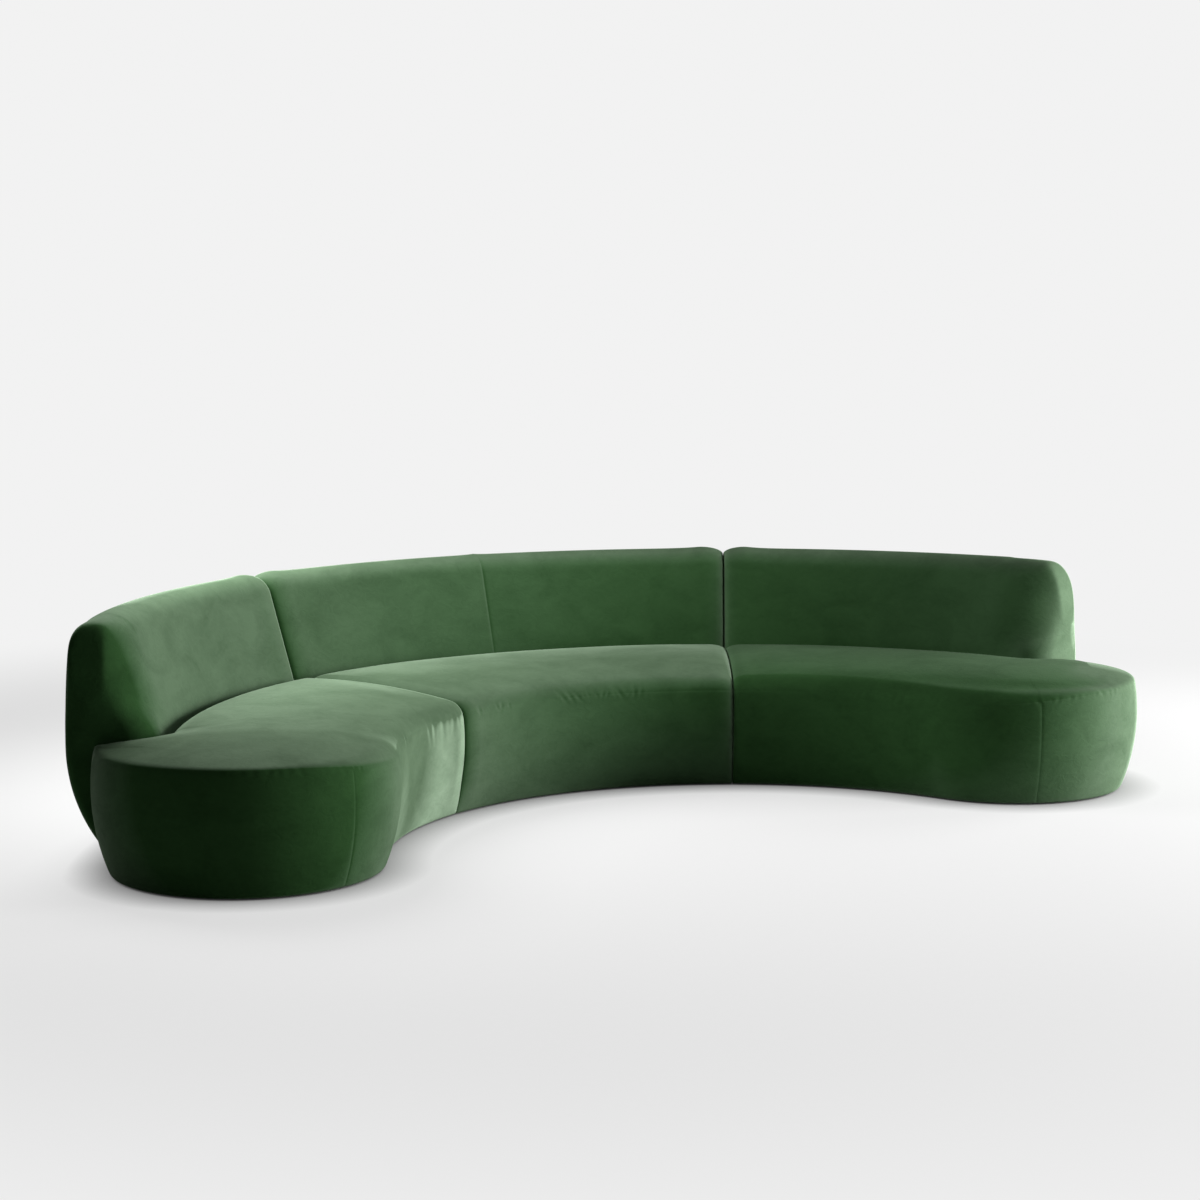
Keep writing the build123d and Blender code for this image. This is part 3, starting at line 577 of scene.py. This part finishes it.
def add_values(mesh, name, values):
    """A number on each point of a mesh."""
    layer = mesh.attributes.new(name, "FLOAT", "POINT")
    layer.data.foreach_set("value", np.asarray(values, np.float32).ravel())


def read_values(mesh, name):
    """The numbers on a mesh's points."""
    values = np.zeros(len(mesh.vertices), np.float32)
    mesh.attributes[name].data.foreach_get("value", values)
    return values.astype(float)


def read_points(mesh):
    """Where a mesh's points are."""
    values = np.zeros(len(mesh.vertices) * 3, np.float32)
    mesh.vertices.foreach_get("co", values)
    return values.reshape(-1, 3).astype(float)


def read_normals(mesh):
    """Outward directions at a mesh's points."""
    values = np.zeros(len(mesh.vertices) * 3, np.float32)
    mesh.vertex_normals.foreach_get("vector", values)
    return values.reshape(-1, 3).astype(float)


def write_points(mesh, points):
    """Moves a mesh's points."""
    mesh.vertices.foreach_set("co", np.asarray(points, np.float32).ravel())
    mesh.update()


def cleaned(mesh):
    """Joins doubled points and turns all faces outwards."""
    work = bmesh.new()
    work.from_mesh(mesh)
    bmesh.ops.remove_doubles(work, verts=work.verts, dist=DOUBLED)
    bmesh.ops.recalc_face_normals(work, faces=work.faces)
    work.to_mesh(mesh)
    work.free()


def smoothed(piece):
    """One subdivision, applied."""
    fine = piece.modifiers.new("fine", "SUBSURF")
    fine.levels = 1
    graph = bpy.context.evaluated_depsgraph_get()
    mesh = bpy.data.meshes.new_from_object(piece.evaluated_get(graph))
    piece.modifiers.clear()
    coarse = piece.data
    piece.data = mesh
    bpy.data.meshes.remove(coarse)
    mesh.polygons.foreach_set("use_smooth", [True] * len(mesh.polygons))


# Cloth


def evened(mesh, push, free):
    """A movement of the points evened out along the edges, which leaves the swell and no loose folds."""
    ends = np.zeros(len(mesh.edges) * 2, np.int32)
    mesh.edges.foreach_get("vertices", ends)
    one, two = ends.reshape(-1, 2).T
    count = np.bincount(ends, minlength=len(push))[:, None]
    for _ in range(TAUT_ROUNDS):
        total = np.zeros_like(push)
        for axis in range(3):
            total[:, axis] += np.bincount(one, push[two, axis], len(push))
            total[:, axis] += np.bincount(two, push[one, axis], len(push))
        push = push + EVENING * free[:, None] * (total / count - push)
    return push


def add_cloth(piece, hold):
    """Cloth with air pressure inside it, held fast where the hold is firm."""
    group = piece.vertex_groups.new(name="held")
    for index in np.nonzero(hold > LEAST_HOLD)[0]:
        group.add([int(index)], float(hold[index]), "REPLACE")
    cloth = piece.modifiers.new("swell", "CLOTH")
    settings = cloth.settings
    settings.quality = 4
    settings.mass = 0.4
    settings.tension_stiffness = 20
    settings.compression_stiffness = 20
    settings.shear_stiffness = 8
    settings.bending_stiffness = 4
    settings.use_pressure = True
    settings.uniform_pressure_force = SIM_PRESSURE
    settings.vertex_group_mass = "held"
    settings.effector_weights.gravity = 0
    cloth.collision_settings.use_collision = False
    cloth.point_cache.frame_start = 1
    cloth.point_cache.frame_end = SIM_FRAMES
    return cloth


def settled(piece, cloth):
    """Where the points lie after the simulation, which is then removed."""
    scene = bpy.context.scene
    for moment in range(1, SIM_FRAMES + 1):
        scene.frame_set(moment)
    graph = bpy.context.evaluated_depsgraph_get()
    mesh = bpy.data.meshes.new_from_object(piece.evaluated_get(graph))
    points = read_points(mesh)
    piece.modifiers.remove(cloth)
    bpy.data.meshes.remove(mesh)
    scene.frame_set(1)
    return points


def swell(piece):
    """Presses the padding out against the cloth, between its seams, hems and hidden walls."""
    mesh = piece.data
    rest = read_points(mesh)
    hold = read_values(mesh, "held")
    write_points(mesh, rest - START_INSET * (1 - hold)[:, None] * read_normals(mesh))
    moved = settled(piece, add_cloth(piece, hold))
    push = evened(mesh, moved - rest, 1 - hold)
    far = np.linalg.norm(push, axis=1)
    limit = SWELL_CAP * np.tanh(far / SWELL_CAP) / np.maximum(far, TINY)
    write_points(mesh, rest + push * limit[:, None])


def press_seams(mesh):
    """Draws the cloth in along its sewn seams."""
    depth = SEAM_DEPTH * read_values(mesh, "seam")
    write_points(mesh, read_points(mesh) - depth[:, None] * read_normals(mesh))


# A group of small folds across a seat's top seam: its stretch along the seam, how many folds, and
# their reach below and above it, width, depth and slant
Group = namedtuple("Group", "first last count below above width depth lean")
END_GATHERS = (
    Group(0.02, 0.30, count=5, below=0.085, above=0.035, width=0.012, depth=0.0009, lean=0.25),
    Group(0.45, 0.80, count=6, below=0.030, above=0.030, width=0.009, depth=0.0010, lean=0.5),
    Group(1.10, 1.60, count=14, below=0.018, above=0.018, width=0.007, depth=0.0010, lean=0.6),
)
CENTRE_GATHERS = (
    Group(0.06, 0.24, count=6, below=0.022, above=0.022, width=0.007, depth=0.0009, lean=0.6),
    Group(0.44, 0.80, count=14, below=0.024, above=0.040, width=0.008, depth=0.0010, lean=0.9),
)
GATHER_SEEDS = {-1: 10, 0: 5, 1: 12}
FOLD_SIZES = (0.45, 1.25)
FOLD_PLACES = (0.2, 0.8)
RIDGE_SHARE = 0.5
RIDGE_PLACE = 1.7


def folds(side):
    """Folds of one seat: place along the seam, slant, reach below and above it, width and depth."""
    chance = np.random.default_rng(GATHER_SEEDS[side])
    made = []
    for group in END_GATHERS if side else CENTRE_GATHERS:
        step = (group.last - group.first) / group.count
        for index in range(group.count):
            place = group.first + (index + chance.uniform(*FOLD_PLACES)) * step
            size = chance.uniform(*FOLD_SIZES)
            slant = group.lean * chance.uniform(-1, 1)
            made.append((place, slant, group.below * size, group.above * size, group.width * size,
                         group.depth * size))
    return made


def gathered(mesh, side):
    """Presses folds into the cloth on both sides of the top seam, with a low ridge beside each."""
    along, above = read_values(mesh, "along"), read_values(mesh, "above")
    push = np.zeros(len(along))
    for place, slant, low, high, width, depth in folds(side):
        aside = (along - place - slant * above) / width
        reach = np.where(above > 0, above / high, -above / low)
        fade = np.clip(1 - reach, 0, 1)
        ridge = RIDGE_SHARE * np.exp(-((np.abs(aside) - RIDGE_PLACE) ** 2))
        push += depth * fade * (np.exp(-(aside**2)) - ridge)
    write_points(mesh, read_points(mesh) - push[:, None] * read_normals(mesh))


# Upholstered pieces


def joint_hold(count, side):
    """How firmly each line is held near a joint: at the start and, in the centre unit, at the end."""
    index = np.arange(count)
    hold = np.clip(1 - (index - JOINT_STEPS + 1) / JOINT_HOLD_FADE, 0, 1)
    if side == 0:
        hold = np.maximum(hold, hold[::-1])
    return hold[:, None]


def edge_rim_highlight(shape, side):
    """Painted highlight over a joint's rounded edge, where that edge faces the key lamp on the right."""
    painted_light = np.zeros(shape)
    # painted highlight, line by line over the joint's rounded edge
    painted_rims = np.array(JOINT_RIM_HIGHLIGHT)[:, None]
    stop = 1 + len(painted_rims)
    if side < 0:
        painted_light[1:stop] = painted_rims
    elif side == 0:
        painted_light[-stop:-1] = painted_rims[::-1]
    return painted_light


def grown(points, row, first, last):
    """Rises from 0 to 1 along a piece, between two places on one of its rows."""
    return eased(run_length(points[:, row]), first, last)[:, None]


def finished(name, points, side, seams, hold, painted_light, key_row):
    """A closed, swollen and smoothed mesh through lines of points, mirrored for the left unit."""
    if side < 0:
        points = points * (-1, 1, 1)
    piece = quilt(name, points, ("first",) if side else ("first", "last"))
    mesh = piece.data
    lengths = np.array([run_length(line) for line in points])
    add_values(mesh, "along", np.repeat(run_length(points[:, key_row]), points.shape[1]))
    add_values(mesh, "above", lengths - lengths[:, [key_row]])
    add_values(mesh, "seam", seams)
    # painted light and shade, kept on the points for the velvet's colour
    add_values(mesh, "painted_light", painted_light)
    hem = np.clip(1 - (points[:, :, 2] - HEM_Z) / HEM_HOLD, 0, 1)
    add_values(mesh, "held", np.maximum.reduce((np.ceil(seams), hold, hem)))
    cleaned(mesh)
    swell(piece)
    press_seams(mesh)
    smoothed(piece)
    return piece


def seat_lines(side):
    """Lines over one unit's seat, and which of them runs up the seam of its nose."""
    profile = ring_profile()
    turn = joint_turn(profile, SEAT_JOINT)
    if side:
        stop = END_ANGLE + corner_lean
        lines = joint_lines(profile, HALF_ANGLE, 1, SEAT_JOINT)
        lines += sweep_lines(profile, HALF_ANGLE + turn, stop, inner_places(END_SEAT_LINES))
        nose, seam = nose_lines()
        return np.array(lines + nose), len(lines) + seam
    stop = HALF_ANGLE - turn
    lines = joint_lines(profile, -HALF_ANGLE, 1, SEAT_JOINT)
    lines += sweep_lines(profile, -stop, stop, inner_places(CENTRE_SEAT_LINES))
    lines += joint_lines(profile, HALF_ANGLE, -1, SEAT_JOINT)[::-1]
    return np.array(lines), None


def seat_hold(points, side):
    """How firmly a seat's points are held: on its hidden wall, in the valley and at its joints."""
    hold = np.zeros(points.shape[:2])
    wall = WALL_ROW - HELD_WALL_ROWS
    hold[:, wall:] = 1
    hold[:, wall - len(VALLEY_HOLD) : wall] = VALLEY_HOLD
    hold = np.maximum(hold, joint_hold(len(points), side))
    if side:
        ending = np.linspace(0, 1, NOSE_END_LINES)[:, None]
        hold[-NOSE_END_LINES:] = np.maximum(hold[-NOSE_END_LINES:], ending)
    return hold


def seat_painted_light(points, side):
    """Painted light and shade on a seat: a highlight on the left unit's front by its joint with the centre
    and on joint edges that face right, and shade on the left nose and on the right unit's front and top.
    """
    rows = np.arange(points.shape[1])[None, :] - SEAM_ROW
    painted_light = edge_rim_highlight(points.shape[:2], side)
    if side < 0:
        # painted highlight on the left unit's front, by its joint
        front = 1 - eased(rows, *LEFT_FRONT_HIGHLIGHT_ROWS)
        brush_marks_and_highlight = front * (1 - grown(points, SEAM_ROW, *LEFT_FRONT_HIGHLIGHT_STRETCH))
        painted_light = np.maximum(painted_light, LEFT_FRONT_HIGHLIGHT * brush_marks_and_highlight)
        # painted shade on the left nose's front
        below_top = rows < LEFT_NOSE_SHADE_ROWS
        painted_light = painted_light + LEFT_NOSE_SHADE * below_top * grown(points, SEAM_ROW, *LEFT_NOSE_SHADE_STRETCH)
    if side > 0:
        # painted shade on the right unit's front and on its seat's top
        top = eased(rows, *RIGHT_TOP_SHADE_ROWS)
        painted_light = painted_light + RIGHT_FRONT_SHADE * (1 - top) * (1 - grown(points, SEAM_ROW, *RIGHT_FRONT_SHADE_STRETCH))
        painted_light = painted_light + RIGHT_TOP_SHADE * top * (1 - grown(points, SEAM_ROW, *RIGHT_TOP_SHADE_STRETCH))
    return painted_light


def seat_piece(unit, side):
    """Upholstered seat of one unit."""
    points, nose_seam = seat_lines(side)
    seams = np.zeros(points.shape[:2])
    seams[:, SEAM_ROW] = TOP_SEAM_SHARE
    if side:
        seams[nose_seam, 1 : SEAM_ROW + 1] = NOSE_SEAM_SHARE
    hold, painted_light = seat_hold(points, side), seat_painted_light(points, side)
    piece = finished(unit + "_seat", points, side, seams, hold, painted_light, SEAM_ROW)
    gathered(piece.data, side)
    return piece


def end_back_lines():
    """Lines over the back of an end unit, and which of them starts its free end."""
    profile = back_profile()
    start = HALF_ANGLE + joint_turn(profile, BACK_JOINT)
    stop = END_ANGLE - np.arcsin((SEAM_GAP / 2 + END_REACH) / profile[:, 0])
    lines = joint_lines(profile, HALF_ANGLE, 1, BACK_JOINT)
    lines += sweep_lines(profile, start, stop, inner_places(END_BACK_LINES))
    return softened(np.array(lines + end_lines()), len(lines)), len(lines)


def centre_back_lines():
    """Lines over the back of the centre unit, and which of them runs up its middle seam."""
    profile = back_profile()
    stop = HALF_ANGLE - joint_turn(profile, BACK_JOINT)
    half = SEAM_HALF / (2 * HALF_ANGLE * SEAT_BACK)
    shares = np.linspace(0, 0.5 - half, HALF_BACK_LINES + 1)[1:]
    lines = joint_lines(profile, -HALF_ANGLE, 1, BACK_JOINT)
    seam_line = len(lines) + len(shares)
    lines += sweep_lines(profile, -stop, stop, [*shares, 0.5, *(1 - shares[::-1])])
    lines += joint_lines(profile, HALF_ANGLE, -1, BACK_JOINT)[::-1]
    return np.array(lines), seam_line


def back_painted_light(points, side, crest):
    """Painted light and shade on a back: highlights on joint edges that face right, shade at the left free
    end and a highlight at the right one.
    """
    painted_light = edge_rim_highlight(points.shape[:2], side)
    if side == 0:
        return painted_light
    length = run_length(points[:, crest])[-1]
    # painted shade at the left free end, painted highlight at the right one
    end_painted_light, stretch = (LEFT_END_SHADE, LEFT_END_SHADE_STRETCH) if side < 0 else (RIGHT_END_HIGHLIGHT, RIGHT_END_HIGHLIGHT_STRETCH)
    return painted_light + end_painted_light * grown(points, crest, *(length - place for place in stretch))


def back_piece(unit, side):
    """Upholstered back of one unit."""
    crest = 1 + len(front_branch) + len(cap_branch) // 2
    points, key_line = end_back_lines() if side else centre_back_lines()
    seams, hold = np.zeros(points.shape[:2]), np.zeros(points.shape[:2])
    behind_seat = np.clip((FREE_BACK_Z - points[:, :, 2]) / BACK_HOLD_FADE, 0, 1)
    front_rows = 1 + len(front_branch)
    hold[:, :front_rows] = behind_seat[:, :front_rows]
    hold = np.maximum(hold, joint_hold(len(points), side))
    if side:
        hold[key_line:] = np.maximum(hold[key_line:], behind_seat[key_line:])
    else:
        seams[key_line, 1:crest] = BACK_SEAM_SHARE
    painted_light = back_painted_light(points, side, crest)
    return finished(unit + "_back", points, side, seams, hold, painted_light, crest)


# Materials

# Colour of the pile by how far it is seen from the side, with a painted sheen that pales it at grazing
# views, and how far the painted light and shade shift it
PAINTED_LIGHT_SHIFT = 0.4
PILE_AND_SHEEN_COLOURS = [
    (0.0, (0.024, 0.069, 0.020)),
    (0.1, (0.044, 0.097, 0.040)),
    (0.45, (0.081, 0.132, 0.076)),
    (0.8, (0.088, 0.140, 0.082)),
    (1.0, (0.245, 0.343, 0.234)),
]


def new_material(name):
    """A material with its node tree, its shader and the place on the object."""
    material = bpy.data.materials.new(name)
    material.use_nodes = True
    tree = material.node_tree
    place = tree.nodes.new("ShaderNodeTexCoord")
    return material, tree, tree.nodes["Principled BSDF"], place.outputs["Object"]


def node(tree, kind, inputs=None, **settings):
    """A shader node, with its inputs linked to sockets or set to values."""
    made = tree.nodes.new("ShaderNode" + kind)
    for key, value in settings.items():
        setattr(made, key, value)
    for key, value in (inputs or {}).items():
        if isinstance(value, bpy.types.NodeSocket):
            tree.links.new(value, made.inputs[key])
        else:
            made.inputs[key].default_value = value
    return made


def ramp(tree, factor, stops):
    """Colours between stops, each a place and a colour."""
    made = node(tree, "ValToRGB", {"Fac": factor})
    elements = made.color_ramp.elements
    while len(elements) < len(stops):
        elements.new(0.5)
    for element, (place, colour) in zip(elements, stops):
        element.position = place
        element.color = (*colour, 1)
    return made.outputs["Color"]


def calc(tree, operation, *values):
    """The result of a sum on values and sockets."""
    made = node(tree, "Math", dict(enumerate(values)), operation=operation)
    return made.outputs[0]


def coat(tree, shader, colour, roughness, relief, strength, distance):
    """Colour, roughness and fine relief of a plain surface."""
    tree.links.new(colour, shader.inputs["Base Color"])
    shader.inputs["Roughness"].default_value = roughness
    bump = node(tree, "Bump", {"Strength": strength, "Distance": distance, "Height": relief})
    tree.links.new(bump.outputs["Normal"], shader.inputs["Normal"])
    return bump


def velvet():
    """Green velvet with a painted sheen: deep when seen straight into the pile, pale along it, and with
    soft patches of brushing marks.
    """
    material, tree, shader, place = new_material("velvet")
    upright = node(tree, "Mapping", {"Vector": place, "Scale": (1, 1, 1.5)}).outputs[0]
    broad = node(tree, "TexNoise", {"Vector": upright, "Scale": 5, "Detail": 4, "Distortion": 0.8})
    small = node(tree, "TexNoise", {"Vector": upright, "Scale": 26, "Detail": 5, "Distortion": 1.5})
    pile = node(tree, "TexNoise", {"Vector": place, "Scale": 900, "Detail": 2}).outputs["Fac"]
    brush_marks_and_highlight = calc(tree, "MULTIPLY_ADD", small.outputs["Fac"], 0.45, broad.outputs["Fac"])
    tone = calc(tree, "MULTIPLY_ADD", pile, 0.2, brush_marks_and_highlight)
    patches = ramp(tree, tone, [(0.55, (0.81, 0.84, 0.81)), (1.0, (1.14, 1.12, 1.14))])
    # painted sheen: the colour is read from the ramp by viewing angle, pale at grazing views
    aside = node(tree, "LayerWeight", {"Blend": 0.5}).outputs["Facing"]
    # painted light and shade, read from the points, shift the colour along the ramp
    painted_light = node(tree, "Attribute", attribute_name="painted_light").outputs["Fac"]
    aside = calc(tree, "MULTIPLY_ADD", painted_light, PAINTED_LIGHT_SHIFT, aside)
    colour = ramp(tree, aside, PILE_AND_SHEEN_COLOURS)
    colour = node(tree, "MixRGB", {"Fac": 1, "Color1": colour, "Color2": patches}, blend_type="MULTIPLY")
    nap = coat(tree, shader, colour.outputs["Color"], 0.9, pile, strength=0.18, distance=0.0006)
    waves = node(tree, "Bump", {"Strength": 0.36, "Distance": 0.006, "Height": brush_marks_and_highlight})
    tree.links.new(waves.outputs["Normal"], nap.inputs["Normal"])
    shader.inputs["Specular IOR Level"].default_value = 0.05
    return material


def plywood():
    """Birch plywood: long grain, with its plies across the edge."""
    material, tree, shader, place = new_material("plywood")
    stretch = node(tree, "Mapping", {"Vector": place, "Scale": (3, 3, 60)}).outputs[0]
    noise = node(tree, "TexNoise", {"Vector": stretch, "Scale": 4, "Detail": 6, "Distortion": 1.2})
    grain = noise.outputs["Fac"]
    colour = ramp(tree, grain, [(0.3, (0.40, 0.25, 0.12)), (0.7, (0.62, 0.44, 0.25))])
    coat(tree, shader, colour, 0.6, grain, strength=0.2, distance=0.0008)
    return material


def woven(name, dark, pale, threads):
    """Cloth with a plain weave, threads to the metre."""
    material, tree, shader, place = new_material(name)
    warp = node(tree, "TexWave", {"Vector": place, "Scale": threads}, bands_direction="X")
    weft = node(tree, "TexWave", {"Vector": place, "Scale": threads}, bands_direction="Y")
    weave = calc(tree, "MULTIPLY", warp.outputs["Fac"], weft.outputs["Fac"])
    colour = ramp(tree, weave, [(0.1, dark), (0.9, pale)])
    coat(tree, shader, colour, 0.85, weave, strength=0.4, distance=0.0005)
    return material


def cellular():
    """Pale upholstery foam with fine open cells."""
    material, tree, shader, place = new_material("foam")
    cells = node(tree, "TexVoronoi", {"Vector": place, "Scale": 420}).outputs["Distance"]
    colour = ramp(tree, cells, [(0.1, (0.5, 0.45, 0.33)), (0.7, (0.75, 0.7, 0.58))])
    coat(tree, shader, colour, 0.95, cells, strength=0.3, distance=0.0006)
    return material


def moulded():
    """Black moulded plastic with a fine spark texture."""
    material, tree, shader, place = new_material("glide_plastic")
    grain = node(tree, "TexNoise", {"Vector": place, "Scale": 700, "Detail": 2}).outputs["Fac"]
    colour = ramp(tree, grain, [(0.3, (0.012, 0.012, 0.012)), (0.8, (0.03, 0.03, 0.03))])
    coat(tree, shader, colour, 0.5, grain, strength=0.15, distance=0.0003)
    return material


def zinc():
    """Zinc-plated steel with faint rolling marks."""
    material, tree, shader, place = new_material("steel")
    stretch = node(tree, "Mapping", {"Vector": place, "Scale": (8, 200, 200)}).outputs[0]
    marks = node(tree, "TexNoise", {"Vector": stretch, "Scale": 6, "Detail": 4}).outputs["Fac"]
    colour = ramp(tree, marks, [(0.3, (0.42, 0.43, 0.45)), (0.7, (0.6, 0.61, 0.63))])
    tree.links.new(colour, shader.inputs["Base Color"])
    rough = node(tree, "MapRange", {"Value": marks, "To Min": 0.28, "To Max": 0.45})
    tree.links.new(rough.outputs[0], shader.inputs["Roughness"])
    shader.inputs["Metallic"].default_value = 1.0
    return material


def dress_nodes(materials):
    """Gives each shown solid the material of its slot."""
    for row in frame["record"]["subparts"]:
        solid = frame["nodes"][row["node"]]
        solid.data.materials.clear()
        solid.data.materials.append(materials[row["material_slot"]])


# Stage

CAMERA_PLACE = (-4.168, -7.849, 1.807)
CAMERA_TILT = radians(82.95)
CAMERA_TURN = radians(-28.36)
CAMERA_LENS = 74.94
CAMERA_FAR = 200.0

# Paper of the floor, which fades from a near tone to the background's, and the light it gives back
FLOOR_SIZE = 60.0
FLOOR_FADE = (2.6, 5.0)
PAPER = (0.887, 0.887, 0.887, 1)
NEAR_PAPER = (0.86, 0.86, 0.86, 1)
BOUNCE = (0.6, 0.6, 0.6, 1)
AMBIENT = (0.03, 0.03, 0.03, 1)
CONTACT_REACH = 0.14
SHADOW_SHARE = 0.26
LAMP_AIM = (0, -0.2, 0.3)


def add_camera():
    """The view of the photograph."""
    lens = bpy.data.cameras.new("camera")
    lens.lens = CAMERA_LENS
    lens.clip_end = CAMERA_FAR
    camera = bpy.data.objects.new("camera", lens)
    camera.location = CAMERA_PLACE
    camera.rotation_euler = (CAMERA_TILT, 0, CAMERA_TURN)
    bpy.context.scene.collection.objects.link(camera)
    bpy.context.scene.camera = camera


def seen_directly(tree):
    """1 for rays from the camera, and for what shows in gloss or through glass."""
    path = node(tree, "LightPath").outputs
    shown = calc(tree, "MAXIMUM", path["Is Camera Ray"], path["Is Glossy Ray"])
    return calc(tree, "MAXIMUM", shown, path["Is Transmission Ray"])


def add_world():
    """Soft even light, behind which a pale paper background shows."""
    world = bpy.data.worlds.new("studio")
    world.use_nodes = True
    tree = world.node_tree
    paper = node(tree, "MixRGB", {"Fac": seen_directly(tree), "Color1": AMBIENT, "Color2": PAPER})
    tree.links.new(paper.outputs["Color"], tree.nodes["Background"].inputs["Color"])
    bpy.context.scene.world = world


def floor_material():
    """Pale paper, lit mostly by itself, that keeps a share of the shadow and has a painted contact shadow
    where its glow darkens by ambient occlusion near the sofa.
    """
    material, tree, shader, place = new_material("floor")
    seen = seen_directly(tree)
    fine = node(tree, "TexNoise", {"Vector": place, "Scale": 40, "Detail": 3}).outputs["Fac"]
    shade = ramp(tree, fine, [(0.2, (0.97, 0.97, 0.97)), (0.8, (1, 1, 1))])
    shade = node(tree, "MixRGB", {"Fac": seen, "Color1": BOUNCE, "Color2": shade}).outputs["Color"]
    tree.links.new(shade, shader.inputs["Base Color"])
    shader.inputs["Roughness"].default_value = 0.8
    shader.inputs["Specular IOR Level"].default_value = 0.1
    near, far = FLOOR_FADE
    away = node(tree, "VectorMath", {0: place}, operation="LENGTH").outputs["Value"]
    fade = node(tree, "MapRange", {"Value": away, "From Min": near, "From Max": far})
    fade.interpolation_type = "SMOOTHSTEP"
    fade = fade.outputs[0]
    paper = node(tree, "MixRGB", {"Fac": fade, "Color1": NEAR_PAPER, "Color2": PAPER})
    # painted contact shadow: the glow darkens by ambient occlusion close to the sofa
    contact = node(tree, "AmbientOcclusion", {"Distance": CONTACT_REACH, "Color": paper.outputs[0]})
    glow = node(tree, "Emission", {"Color": contact.outputs["Color"]})
    share = calc(tree, "MULTIPLY_ADD", fade, SHADOW_SHARE, 1 - SHADOW_SHARE)
    lit = calc(tree, "MULTIPLY", share, seen)
    mix = node(tree, "MixShader", {0: lit, 1: shader.outputs[0], 2: glow.outputs[0]})
    output = next(item for item in tree.nodes if item.type == "OUTPUT_MATERIAL")
    tree.links.new(mix.outputs[0], output.inputs["Surface"])
    return material


def add_floor():
    """A wide floor that takes the sofa's shadow and fades into the background."""
    half = FLOOR_SIZE / 2
    mesh = bpy.data.meshes.new("floor")
    corners = [(-half, -half, 0), (half, -half, 0), (half, half, 0), (-half, half, 0)]
    mesh.from_pydata(corners, [], [(0, 1, 2, 3)])
    mesh.materials.append(floor_material())
    floor = bpy.data.objects.new("floor", mesh)
    bpy.context.scene.collection.objects.link(floor)


def add_lamp(name, place, size, power):
    """A soft square lamp aimed at the sofa."""
    lamp = bpy.data.lights.new(name, "AREA")
    lamp.size = size
    lamp.energy = power
    made = bpy.data.objects.new(name, lamp)
    made.location = place
    made.rotation_euler = (Vector(LAMP_AIM) - made.location).to_track_quat("-Z", "Y").to_euler()
    made.visible_camera = False
    bpy.context.scene.collection.objects.link(made)


add_camera()
materials = {
    "velvet": velvet(),
    "plywood": plywood(),
    "webbing": woven("webbing", (0.006, 0.006, 0.007), (0.03, 0.03, 0.034), 260),
    "dust_cloth": woven("dust_cloth", (0.004, 0.004, 0.004), (0.014, 0.014, 0.015), 500),
    "foam": cellular(),
    "glide_plastic": moulded(),
    "steel": zinc(),
}
dress_nodes(materials)
for unit, side in (("left", -1), ("centre", 0), ("right", 1)):
    seat = seat_piece(unit, side)
    back = back_piece(unit, side)
    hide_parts(unit + "_seat_cover", unit + "_seat_foam", unit + "_side_foam")
    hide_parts(unit + "_back_cover", unit + "_back_front_foam", unit + "_back_outer_foam")
    for piece in (seat, back):
        piece.data.materials.append(materials["velvet"])
        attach(piece, unit + "_module")

add_world()
add_floor()
add_lamp("key", place=(5.8, -3.7, 1.6), size=2.4, power=610)
add_lamp("side", place=(5.5, -0.6, 1.9), size=2.0, power=165)
add_lamp("top", place=(-1.4, 0.9, 1.9), size=1.4, power=74)
bpy.context.scene.view_settings.view_transform = "Standard"
